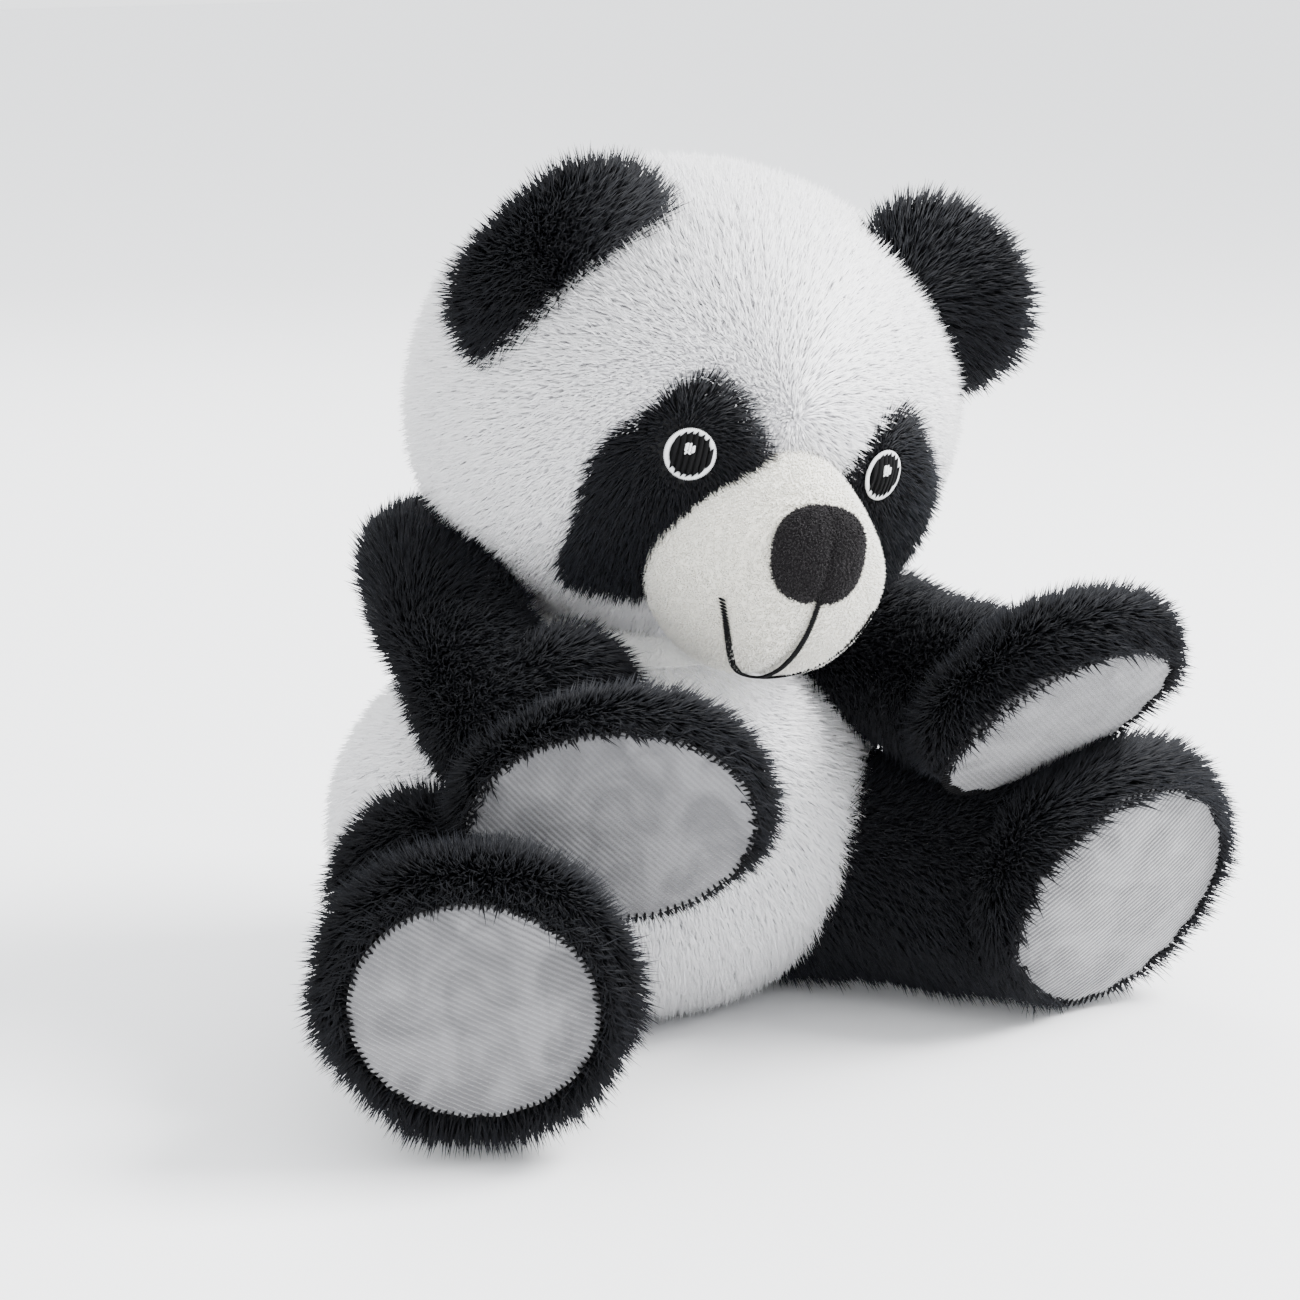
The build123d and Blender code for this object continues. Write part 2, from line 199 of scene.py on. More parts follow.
def corners(piece: bpy.types.Object) -> np.ndarray:
    """Corner points of a piece, in millimetres."""
    flat = np.empty(len(piece.data.vertices) * 3)
    piece.data.vertices.foreach_get("co", flat)
    return flat.reshape(-1, 3) / MM


def normals(piece: bpy.types.Object) -> np.ndarray:
    """Corner normals of a piece."""
    flat = np.empty(len(piece.data.vertices) * 3)
    piece.data.vertices.foreach_get("normal", flat)
    return flat.reshape(-1, 3)


def move_corners(piece: bpy.types.Object, points: np.ndarray) -> None:
    """Sets the corner points of a piece, given in millimetres."""
    piece.data.vertices.foreach_set("co", (points * MM).ravel())
    piece.data.update()


def settle(piece: bpy.types.Object) -> bpy.types.Object:
    """Turns a piece's modifiers into plain mesh and removes them."""
    graph = bpy.context.evaluated_depsgraph_get()
    graph.update()
    mesh = bpy.data.meshes.new_from_object(piece.evaluated_get(graph), depsgraph=graph)
    piece.modifiers.clear()
    old, piece.data = piece.data, mesh
    bpy.data.meshes.remove(old)
    mesh.name = piece.name
    return piece


def sphere_grid(rows: int, columns: int) -> tuple[np.ndarray, list]:
    """Closed unit ball with one point at each pole.

    Args:
        rows: rings between the poles.
        columns: points round each ring.

    Returns:
        Points and faces.
    """
    rings = [
        (sin(pi * i / (rows + 1)) * cos(2 * pi * j / columns),
         sin(pi * i / (rows + 1)) * sin(2 * pi * j / columns),
         cos(pi * i / (rows + 1)))
        for i in range(1, rows + 1) for j in range(columns)
    ]
    points = np.array([(0, 0, 1), *rings, (0, 0, -1)], float)
    last = len(points) - 1
    faces = [(0, 1 + j, 1 + (j + 1) % columns) for j in range(columns)]
    for i in range(rows - 1):
        a, b = 1 + i * columns, 1 + (i + 1) * columns
        faces += [(a + j, b + j, b + (j + 1) % columns, a + (j + 1) % columns) for j in range(columns)]
    a = 1 + (rows - 1) * columns
    faces += [(a + j, last, a + (j + 1) % columns) for j in range(columns)]
    return points, faces


def stuffed_skin(name: str, form: Form, voxel: float = 3.0, rounds: int = 6) -> bpy.types.Object:
    """One closed skin over a form, its creases softened.

    Args:
        name: name of the piece.
        form: what the skin covers.
        voxel: size of the remesh, in millimetres.
        rounds: how often the skin is smoothed.

    Returns:
        The skin.
    """
    unit_points, unit_faces = sphere_grid(24, 48)
    points, faces, offset = [], [], 0
    for part in form.parts:
        for ball in part.lumps():
            points.append((unit_points * np.array(ball.semi)) @ ball.matrix.T + np.array(ball.centre))
            faces += [tuple(i + offset for i in face) for face in unit_faces]
            offset += len(unit_points)
    skin = mesh_object(name, np.concatenate(points), faces)
    remesh = skin.modifiers.new("weave", "REMESH")
    remesh.mode, remesh.voxel_size, remesh.use_smooth_shade = "VOXEL", voxel * MM, True
    soften = skin.modifiers.new("soften", "SMOOTH")
    soften.factor, soften.iterations = 0.5, rounds
    return settle(skin)


def cut_faces(piece: bpy.types.Object, keep: np.ndarray, name: str) -> bpy.types.Object:
    """A new piece from some faces of another.

    Args:
        piece: the piece to cut from.
        keep: whether each face is kept.
        name: name of the new piece.

    Returns:
        The new piece, with its corner values carried over.
    """
    faces = [tuple(poly.vertices) for poly, kept in zip(piece.data.polygons, keep) if kept]
    used = sorted({i for face in faces for i in face})
    place = {old: new for new, old in enumerate(used)}
    part = mesh_object(name, corners(piece)[used], [[place[i] for i in face] for face in faces])
    for layer in ("cover", "rise"):
        if layer in piece.data.attributes:
            values = np.empty(len(piece.data.vertices))
            piece.data.attributes[layer].data.foreach_get("value", values)
            put_values(part, layer, values[used])
    if "comb" in piece.data.attributes:
        values = np.empty(len(piece.data.vertices) * 3)
        piece.data.attributes["comb"].data.foreach_get("vector", values)
        put_values(part, "comb", values.reshape(-1, 3)[used])
    return part


def put_values(piece: bpy.types.Object, layer: str, values: np.ndarray) -> None:
    """Stores one number or vector for each corner of a piece."""
    vectors = values.ndim == 2
    made = piece.data.attributes.new(layer, "FLOAT_VECTOR" if vectors else "FLOAT", "POINT")
    made.data.foreach_set("vector" if vectors else "value", values.astype(np.float32).ravel())


def face_centres(piece: bpy.types.Object) -> np.ndarray:
    """Middle of each face, in millimetres."""
    flat = np.empty(len(piece.data.polygons) * 3)
    piece.data.polygons.foreach_get("center", flat)
    return flat.reshape(-1, 3) / MM


# ---- finishes -----------------------------------------------------------------------------------
class NodeBoard:
    """Short hand for making and joining nodes."""

    def __init__(self, tree: bpy.types.NodeTree) -> None:
        """Keeps the tree that the nodes go into."""
        self.tree = tree

    def add(self, kind: str, values: Optional[dict] = None, **settings) -> bpy.types.Node:
        """Adds a node.

        Args:
            kind: Blender's name of the node type.
            values: what goes into its sockets: a value, or a socket to join.
            settings: the node's own settings.

        Returns:
            The node.
        """
        node = self.tree.nodes.new(kind)
        for key, value in settings.items():
            setattr(node, key, value)
        for key, value in (values or {}).items():
            if isinstance(value, bpy.types.NodeSocket):
                self.tree.links.new(value, node.inputs[key])
            else:
                node.inputs[key].default_value = value
        return node

    def math(self, operation: str, *values) -> bpy.types.NodeSocket:
        """Result of a math node."""
        return self.add("ShaderNodeMath", dict(enumerate(values)), operation=operation).outputs[0]


def new_finish(name: str) -> tuple[bpy.types.Material, NodeBoard, bpy.types.Node]:
    """A material with its board and its surface shader."""
    made = bpy.data.materials.new(name)
    made.use_nodes = True
    board = NodeBoard(made.node_tree)
    return made, board, made.node_tree.nodes["Principled BSDF"]


def mixed(board: NodeBoard, share: bpy.types.NodeSocket, first, second) -> bpy.types.NodeSocket:
    """Colour between two colours or colour sockets."""
    node = board.add("ShaderNodeMix", data_type="RGBA")
    board.tree.links.new(share, node.inputs["Factor"])
    for key, value in ((6, first), (7, second)):
        if isinstance(value, bpy.types.NodeSocket):
            board.tree.links.new(value, node.inputs[key])
        else:
            node.inputs[key].default_value = (*value, 1)
    return node.outputs[2]


@dataclass(frozen=True)
class PlushFinish:
    """Cloth with a pile: each tuft runs from a root colour to a tip colour; the darker roots are painted shade
    where the pile shades itself, and the lighter tips a painted sheen.
    """

    name: str
    root: Point
    middle: Point
    tip: Point
    mottle: float
    roughness: float
    sheen: float
    sheen_tint: Point
    glow: float = 0.0
    gloss: float = 0.35

    def material(self) -> bpy.types.Material:
        """Builds the material."""
        made, board, surface = new_finish(self.name)
        tip = board.add("ShaderNodeAttribute", attribute_name="tip").outputs["Fac"]
        shade = board.add("ShaderNodeAttribute", attribute_name="shade").outputs["Fac"]
        place = board.add("ShaderNodeTexCoord").outputs["Object"]
        patches = board.add("ShaderNodeTexNoise", {"Vector": place, "Scale": 55.0, "Detail": 4.0})
        # Painted shade and sheen: the colour darkens towards the roots of the pile and lightens at the tips.
        ramp = board.add("ShaderNodeValToRGB", {"Fac": tip})
        ramp.color_ramp.elements[0].color = (*self.root, 1)
        ramp.color_ramp.elements[1].color = (*self.tip, 1)
        ramp.color_ramp.elements.new(0.45).color = (*self.middle, 1)
        uneven = board.math("ADD", shade, patches.outputs["Fac"])
        gain = board.math("MULTIPLY_ADD", uneven, self.mottle, 1 - self.mottle)
        colour = board.add("ShaderNodeVectorMath", {0: ramp.outputs["Color"]}, operation="SCALE")
        board.tree.links.new(gain, colour.inputs["Scale"])
        board.tree.links.new(colour.outputs[0], surface.inputs["Base Color"])
        surface.inputs["Roughness"].default_value = self.roughness
        surface.inputs["Sheen Weight"].default_value = self.sheen
        surface.inputs["Sheen Roughness"].default_value = 0.45
        surface.inputs["Sheen Tint"].default_value = (*self.sheen_tint, 1)
        surface.inputs["Specular IOR Level"].default_value = self.gloss
        if self.glow:
            surface.inputs["Subsurface Weight"].default_value = self.glow
            surface.inputs["Subsurface Radius"].default_value = (1, 1, 1)
            surface.inputs["Subsurface Scale"].default_value = 4 * MM
        return made


@dataclass(frozen=True)
class VelourFinish:
    """Short velour with fine ribs and a nap that is brushed unevenly."""

    name: str
    base: Point
    brushed: Point
    rib_pitch: float
    rib_depth: float

    def material(self) -> bpy.types.Material:
        """Builds the material; its map is in millimetres."""
        made, board, surface = new_finish(self.name)
        flat = board.add("ShaderNodeUVMap", uv_map="nap").outputs["UV"]
        swirl = board.add("ShaderNodeTexNoise", {
            "Vector": flat, "Scale": 0.055, "Detail": 3.0, "Distortion": 1.2})
        grain = board.add("ShaderNodeTexNoise", {"Vector": flat, "Scale": 2.4, "Detail": 3.0})
        ribs = board.add(
            "ShaderNodeTexWave",
            {"Vector": flat, "Scale": pi / 10 / self.rib_pitch, "Distortion": 0.7, "Detail Scale": 0.8},
        )
        share = board.add("ShaderNodeMapRange", {"Value": swirl.outputs["Fac"], 1: 0.38, 2: 0.62})
        soft = mixed(board, share.outputs[0], self.base, self.brushed)
        # Painted shade: the ribs darken the nap where the bump sinks into the rib grooves.
        rib_groove_shade = tuple(0.55 * c for c in self.base)
        ribbed = mixed(board, board.math("MULTIPLY", ribs.outputs["Fac"], 0.24), soft, rib_groove_shade)
        pit = tuple(0.45 * c for c in self.base)
        speck = mixed(board, board.math("MULTIPLY", grain.outputs["Fac"], 0.45), ribbed, pit)
        board.tree.links.new(speck, surface.inputs["Base Color"])
        relief = board.math("ADD", board.math("MULTIPLY", ribs.outputs["Fac"], -1.0), grain.outputs["Fac"])
        bump = board.add("ShaderNodeBump", {
            "Height": relief, "Strength": 0.8, "Distance": self.rib_depth * MM})
        board.tree.links.new(bump.outputs[0], surface.inputs["Normal"])
        surface.inputs["Roughness"].default_value = 0.85
        surface.inputs["Sheen Weight"].default_value = 0.5
        surface.inputs["Sheen Roughness"].default_value = 0.35
        return made


@dataclass(frozen=True)
class ThreadFinish:
    """Lustrous embroidery thread or ribbon."""

    name: str
    colour: Point
    roughness: float
    sheen: float = 0.3
    gloss: float = 0.5

    def material(self) -> bpy.types.Material:
        """Builds the material."""
        made, board, surface = new_finish(self.name)
        place = board.add("ShaderNodeTexCoord").outputs["Object"]
        twist = board.add("ShaderNodeTexNoise", {"Vector": place, "Scale": 1800.0, "Detail": 2.0})
        # Painted shade: the thread is darker where the twist's bump sinks.
        colour = mixed(board, twist.outputs["Fac"], tuple(0.7 * c for c in self.colour), self.colour)
        board.tree.links.new(colour, surface.inputs["Base Color"])
        bump = board.add("ShaderNodeBump", {
            "Height": twist.outputs["Fac"], "Strength": 0.4, "Distance": 0.1 * MM})
        board.tree.links.new(bump.outputs[0], surface.inputs["Normal"])
        surface.inputs["Roughness"].default_value = self.roughness
        surface.inputs["Sheen Weight"].default_value = self.sheen
        surface.inputs["Specular IOR Level"].default_value = self.gloss
        return made


@dataclass(frozen=True)
class FillFinish:
    """Loose white fibre inside the covers."""

    name: str
    colour: Point

    def material(self) -> bpy.types.Material:
        """Builds the material."""
        made, board, surface = new_finish(self.name)
        place = board.add("ShaderNodeTexCoord").outputs["Object"]
        fibres = board.add("ShaderNodeTexNoise", {
            "Vector": place, "Scale": 400.0, "Detail": 6.0, "Distortion": 2.0})
        # Painted shade: the fibre is darker where its bump sinks.
        colour = mixed(board, fibres.outputs["Fac"], tuple(0.75 * c for c in self.colour), self.colour)
        board.tree.links.new(colour, surface.inputs["Base Color"])
        bump = board.add("ShaderNodeBump", {"Height": fibres.outputs["Fac"], "Distance": MM})
        board.tree.links.new(bump.outputs[0], surface.inputs["Normal"])
        surface.inputs["Roughness"].default_value = 1.0
        return made


# Each finish's root colour is darker than its tip: painted shade at the roots of the pile and painted sheen on
# the tips.
WHITE_PLUSH = PlushFinish(
    "white_plush", (0.88, 0.87, 0.90), (0.93, 0.925, 0.945), (0.96, 0.955, 0.97), 0.03, 0.95, 0.35,
    (1, 1, 1), 0.25)
BLACK_PLUSH = PlushFinish(
    "black_plush", (0.001, 0.001, 0.0015), (0.002, 0.002, 0.003), (0.007, 0.008, 0.011), 0.55, 0.6,
    0.02, (0.75, 0.83, 1.0), gloss=0.16)
MUZZLE_VELOUR = PlushFinish(
    "muzzle_velour", (0.78, 0.755, 0.68), (0.84, 0.82, 0.75), (0.89, 0.875, 0.81), 0.10, 0.95, 0.3,
    (1, 1, 1), 0.15)
NOSE_FLEECE = PlushFinish(
    "nose_fleece", (0.006, 0.005, 0.006), (0.010, 0.009, 0.010), (0.022, 0.019, 0.021), 0.5, 0.9, 0.06,
    (1, 1, 1), gloss=0.15)
PAD_VELOUR = VelourFinish("pad_velour", (0.13, 0.13, 0.137), (0.235, 0.235, 0.245), 1.5, 0.5)
BLACK_THREAD = ThreadFinish("black_thread", (0.002, 0.002, 0.0025), 0.85, 0.0, 0.15)
WHITE_THREAD = ThreadFinish("white_thread", (0.78, 0.79, 0.80), 0.45)
LABEL_SATIN = ThreadFinish("label_satin", (0.82, 0.82, 0.80), 0.35)
FILL = FillFinish("stuffing", (0.85, 0.85, 0.83))


class Wardrobe:
    """Materials, each made once."""

    def __init__(self) -> None:
        """Starts with none."""
        self._made: dict[str, bpy.types.Material] = {}

    def get(self, finish) -> bpy.types.Material:
        """The material of a finish."""
        if finish.name not in self._made:
            self._made[finish.name] = finish.material()
        return self._made[finish.name]


# ---- pile and thread, by Geometry Nodes -----------------------------------------------------------
@dataclass(frozen=True)
class Pile:
    """How a cloth's pile stands."""

    length: float           # millimetres
    width: float
    density: float          # tufts to a square millimetre
    lean: float             # how far the comb lays it over
    tangle: float
    spread: float           # unevenness of the length


WHITE_PILE = Pile(length=6.5, width=0.46, density=1.9, lean=1.1, tangle=0.50, spread=0.25)
BLACK_PILE = Pile(length=9.5, width=0.44, density=1.75, lean=1.25, tangle=0.45, spread=0.30)
SHORT_PILE = Pile(length=8.5, width=0.44, density=1.75, lean=1.25, tangle=0.45, spread=0.30)
PATCH_PILE = Pile(length=6.5, width=0.36, density=2.4, lean=1.2, tangle=0.45, spread=0.3)
VELOUR_PILE = Pile(length=1.0, width=0.30, density=3.0, lean=0.3, tangle=0.7, spread=0.3)


class Mill:
    """Grows pile on skins and sews rows of thread."""

    def __init__(self, wardrobe: Wardrobe) -> None:
        """Builds the two trees and the tuft and strand that they repeat."""
        self.wardrobe = wardrobe
        self.pile_tree = self._build_pile_tree()
        self.thread_tree = self._build_thread_tree()
        self.tuft = self._tuft()
        points, faces = sphere_grid(3, 6)
        self.strand = mesh_object("strand", points * 0.5 / MM, faces)

    @staticmethod
    def _tuft() -> bpy.types.Object:
        """Three-sided closed spike of unit size."""
        foot = [(cos(2 * pi * corner / 3), sin(2 * pi * corner / 3), 0) for corner in range(3)]
        faces = [(2, 1, 0), (0, 1, 3), (1, 2, 3), (2, 0, 3)]
        tuft = mesh_object("tuft", np.array([*foot, (0, 0, 1)]) / MM, faces)
        put_values(tuft, "tip", np.array([0.0, 0.0, 0.0, 1.0]))
        return tuft

    @staticmethod
    def _tree(name: str, inputs: dict[str, str]) -> tuple[bpy.types.NodeTree, NodeBoard, dict]:
        """A tree with a geometry socket each way and the named inputs."""
        tree = bpy.data.node_groups.new(name, "GeometryNodeTree")
        tree.interface.new_socket("Geometry", in_out="INPUT", socket_type="NodeSocketGeometry")
        for key, kind in inputs.items():
            tree.interface.new_socket(key, in_out="INPUT", socket_type=kind)
        tree.interface.new_socket("Geometry", in_out="OUTPUT", socket_type="NodeSocketGeometry")
        board = NodeBoard(tree)
        given = board.add("NodeGroupInput")
        return tree, board, given.outputs

    def _build_pile_tree(self) -> bpy.types.NodeTree:
        """Tree that scatters tufts over a skin, laid over by its comb."""
        tree, board, given = self._tree("pile", {
            "Tuft": "NodeSocketObject", "Finish": "NodeSocketMaterial", "Density": "NodeSocketFloat",
            "Length": "NodeSocketFloat", "Width": "NodeSocketFloat", "Lean": "NodeSocketFloat",
            "Tangle": "NodeSocketFloat", "Spread": "NodeSocketFloat", "Seed": "NodeSocketInt"})

        def attribute(name: str, kind: str) -> bpy.types.NodeSocket:
            return board.add("GeometryNodeInputNamedAttribute", {"Name": name}, data_type=kind).outputs[0]

        def dice(low, high, seed_step: int, kind: str = "FLOAT") -> bpy.types.NodeSocket:
            node = board.add("FunctionNodeRandomValue", data_type=kind)
            first = 0 if kind == "FLOAT_VECTOR" else 2
            for slot, value in ((first, low), (first + 1, high)):
                if isinstance(value, bpy.types.NodeSocket):
                    tree.links.new(value, node.inputs[slot])
                else:
                    node.inputs[slot].default_value = value
            tree.links.new(board.math("ADD", given["Seed"], seed_step), node.inputs["Seed"])
            return node.outputs[0 if kind == "FLOAT_VECTOR" else 1]

        density = board.math("MULTIPLY", given["Density"], attribute("cover", "FLOAT"))
        scatter = board.add("GeometryNodeDistributePointsOnFaces", {
            "Mesh": given["Geometry"], "Density": density, "Seed": given["Seed"]})
        combed = board.add("ShaderNodeVectorMath", {
            0: attribute("comb", "FLOAT_VECTOR"), "Scale": given["Lean"]}, operation="SCALE")
        wild = board.add("ShaderNodeVectorMath", {
            0: dice((-1, -1, -1), (1, 1, 1), 1, "FLOAT_VECTOR"), "Scale": given["Tangle"]}, operation="SCALE")
        laid = board.add("ShaderNodeVectorMath", {
            0: scatter.outputs["Normal"], 1: combed.outputs[0]}, operation="ADD")
        stand = board.add("ShaderNodeVectorMath", {0: laid.outputs[0], 1: wild.outputs[0]}, operation="ADD")
        spin = board.add("ShaderNodeCombineXYZ", {"Z": dice(0.0, 2 * pi, 2)})
        start = board.add("FunctionNodeEulerToRotation", {0: spin.outputs[0]})
        aim = board.add("FunctionNodeAlignRotationToVector", {
            "Rotation": start.outputs[0], "Vector": stand.outputs[0]}, axis="Z")
        low = board.math("SUBTRACT", 1.0, given["Spread"])
        high = board.math("ADD", 1.0, given["Spread"])
        rise = board.math("MULTIPLY", given["Length"], attribute("rise", "FLOAT"))
        tall = board.math("MULTIPLY", rise, dice(low, high, 3))
        wide = board.math("MULTIPLY", given["Width"], dice(0.75, 1.25, 4))
        size = board.add("ShaderNodeCombineXYZ", {"X": wide, "Y": wide, "Z": tall})
        tuft = board.add("GeometryNodeObjectInfo", {"Object": given["Tuft"]})
        rows = board.add("GeometryNodeInstanceOnPoints", {
            "Points": scatter.outputs["Points"], "Instance": tuft.outputs["Geometry"],
            "Rotation": aim.outputs[0], "Scale": size.outputs[0]})
        shade = board.add("GeometryNodeStoreNamedAttribute", {
            "Geometry": rows.outputs[0], "Name": "shade", "Value": dice(0.0, 1.0, 5)},
            data_type="FLOAT", domain="INSTANCE")
        real = board.add("GeometryNodeRealizeInstances", {"Geometry": shade.outputs[0]})
        both = board.add("GeometryNodeJoinGeometry")
        tree.links.new(given["Geometry"], both.inputs[0])
        tree.links.new(real.outputs[0], both.inputs[0])
        dyed = board.add("GeometryNodeSetMaterial", {"Geometry": both.outputs[0], "Material": given["Finish"]})
        out = board.add("NodeGroupOutput")
        tree.links.new(dyed.outputs[0], out.inputs[0])
        return tree

    def _build_thread_tree(self) -> bpy.types.NodeTree:
        """Tree that lays strands across the stitch points of a row, flat on the cloth."""
        tree, board, given = self._tree("thread", {
            "Strand": "NodeSocketObject", "Finish": "NodeSocketMaterial", "Length": "NodeSocketFloat",
            "Thickness": "NodeSocketFloat", "Slant": "NodeSocketFloat"})
        run, face = (
            board.add("GeometryNodeInputNamedAttribute", {"Name": name}, data_type="FLOAT_VECTOR").outputs[0]
            for name in ("run", "face"))
        frame_turn = board.add("FunctionNodeAxesToRotation", {"Primary Axis": face, "Secondary Axis": run},
                               primary_axis="Z", secondary_axis="X")
        slant = board.add("ShaderNodeCombineXYZ", {"Z": given["Slant"]})
        skew = board.add("FunctionNodeEulerToRotation", {0: slant.outputs[0]})
        whole = board.add("FunctionNodeRotateRotation", {
            "Rotation": frame_turn.outputs[0], "Rotate By": skew.outputs[0]}, rotation_space="LOCAL")
        size = board.add("ShaderNodeCombineXYZ", {
            "X": given["Length"], "Y": given["Thickness"], "Z": given["Thickness"]})
        strand = board.add("GeometryNodeObjectInfo", {"Object": given["Strand"]})
        rows = board.add("GeometryNodeInstanceOnPoints", {
            "Points": given["Geometry"], "Instance": strand.outputs["Geometry"],
            "Rotation": whole.outputs[0], "Scale": size.outputs[0]})
        real = board.add("GeometryNodeRealizeInstances", {"Geometry": rows.outputs[0]})
        dyed = board.add("GeometryNodeSetMaterial", {"Geometry": real.outputs[0], "Material": given["Finish"]})
        out = board.add("NodeGroupOutput")
        tree.links.new(dyed.outputs[0], out.inputs[0])
        return tree

    @staticmethod
    def _apply(piece: bpy.types.Object, tree: bpy.types.NodeTree, values: dict) -> bpy.types.Object:
        """Runs a tree on a piece with the given inputs and keeps the plain mesh."""
        worn = piece.modifiers.new(tree.name, "NODES")
        worn.node_group = tree
        sockets = {s.name: s.identifier for s in tree.interface.items_tree if s.in_out == "INPUT"}
        for key, value in values.items():
            worn[sockets[key]] = value
        return settle(piece)

    def grow(self, skin: bpy.types.Object, pile: Pile, finish: PlushFinish, seed: int) -> bpy.types.Object:
        """Grows a pile on a skin that carries cover, rise and comb.

        Args:
            skin: cloth to cover.
            pile: how the pile stands.
            finish: its colours.
            seed: start of the random draws.

        Returns:
            The skin with its pile, one mesh.
        """
        return self._apply(skin, self.pile_tree, {
            "Tuft": self.tuft, "Finish": self.wardrobe.get(finish),
            "Density": pile.density / MM**2, "Length": pile.length * MM, "Width": pile.width * MM,
            "Lean": pile.lean, "Tangle": pile.tangle, "Spread": pile.spread, "Seed": seed})

    def sew(self, name: str, path: np.ndarray, faces: np.ndarray, length: float, thickness: float,
            stitch: Stitch, finish: ThreadFinish, closed: bool = False) -> bpy.types.Object:
        """Lays a strand at each point of a path.

        Args:
            name: name of the piece.
            path: stitch points, in millimetres.
            faces: the cloth's normal at each.
            length: length of a strand.
            thickness: thickness of a strand.
            stitch: how the strands lie.
            finish: the thread.
            closed: the path comes back to its start.

        Returns:
            The row, one mesh.
        """
        ahead = np.roll(path, -1, 0) - np.roll(path, 1, 0)
        if not closed:
            ahead[0], ahead[-1] = path[1] - path[0], path[-1] - path[-2]
        row = mesh_object(name, path, [])
        put_values(row, "run", ahead / np.linalg.norm(ahead, axis=1)[:, None])
        put_values(row, "face", faces)
        return self._apply(row, self.thread_tree, {
            "Strand": self.strand, "Finish": self.wardrobe.get(finish), "Length": length * MM,
            "Thickness": thickness * MM, "Slant": radians(stitch.value)})

    def close(self) -> None:
        """Removes the single tuft and strand."""
        for tool in (self.tuft, self.strand):
            bpy.data.objects.remove(tool)


def dress(piece: bpy.types.Object, body: str, slot: str, *nodes: str, fill: Optional[float] = None) -> None:
    """Hangs a finished piece on its body and hides the nodes that it stands for; its slot and fill are not
    used.
    """
    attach(piece, body)
    if nodes:
        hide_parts(*nodes)
    LOG.info("%s: %d faces", piece.name, len(piece.data.polygons))


def hang(points: np.ndarray, facing: np.ndarray, away_from: Sequence[float], down: float = 1.0) -> np.ndarray:
    """Comb that lies on the cloth, down and away from a point.

    Args:
        points: where, in millimetres.
        facing: normals there.
        away_from: the point that the pile is brushed away from.
        down: share of gravity.

    Returns:
        One vector for each point.
    """
    away = points - np.asarray(away_from, float)
    away /= np.linalg.norm(away, axis=1)[:, None]
    wish = away + np.array([0, 0, -down])
    wish -= facing * np.sum(wish * facing, axis=1)[:, None]
    return wish / np.maximum(np.linalg.norm(wish, axis=1), 0.2)[:, None]


def wave(points: np.ndarray, length: float, phase: float) -> np.ndarray:
    """Slow swell from -1 to 1 through space, for dents and uneven lengths."""
    p = points / length
    return (np.sin(p[:, 0] * 2.1 + phase) + np.sin(p[:, 1] * 1.7 - 1.3 * phase + 0.6 * p[:, 2])
            + np.sin(p[:, 2] * 2.3 + 0.7 * phase + 0.8 * p[:, 0])) / 3


# ---- the panda ------------------------------------------------------------------------------------
@dataclass
class Torso:
    """White body: an egg, flat underneath, whose top runs up into the head."""

    semi: Point = (81.0, 66.5, 57.5)
    centre_height: float = 53.0
    neck_radius: float = 42.0
    floor_gap: float = 1.0
    side_seam: float = -20.0

    def form(self) -> Form:
        """Solid form of the body and its neck."""
        pivot = np.array(frame_joint("neck_nod")["pos_m"]) / MM
        return Form([Ball((0, 0, self.centre_height), self.semi), Ball(tuple(pivot), (self.neck_radius,) * 3)])

    def build(self, mill: Mill, others: list[Form]) -> None:
        """Builds the four covers.

        Args:
            mill: grows the pile.
            others: forms that hide the cloth inside them.
        """
        skin = stuffed_skin("body_skin", self.form())
        points = corners(skin)
        points[:, 2] = np.maximum(points[:, 2], self.floor_gap)
        move_corners(skin, points)
        facing = normals(skin)
        clear = np.min([form.height(points) for form in others], axis=0)
        put_values(skin, "cover", smooth_step(clear, -9, -6) * (points[:, 2] > self.floor_gap + 2))
        put_values(skin, "rise", (1 + 0.12 * wave(points, 22, 1.0)) * smooth_step(points[:, 2], -4, 12))
        put_values(skin, "comb", hang(points, facing, (0, 0, 140)))
        middle = face_centres(skin)
        front = middle[:, 1] < self.side_seam
        left = middle[:, 0] > 0
        seat = middle[:, 2] < self.floor_gap + 0.5
        panels = {
            "body_front_panel": front & ~seat,
            "body_back_left_panel": ~front & left & ~seat,
            "body_back_right_panel": ~front & ~left & ~seat,
            "seat_panel": seat,
        }
        for seed, (node, keep) in enumerate(panels.items()):
            cover = cut_faces(skin, keep, node.replace("panel", "cover"))
            cover = mill.grow(cover, WHITE_PILE, WHITE_PLUSH, 11 + seed)
            dress(cover, "torso", "white_plush", node, fill=0.8)
        bpy.data.objects.remove(skin)


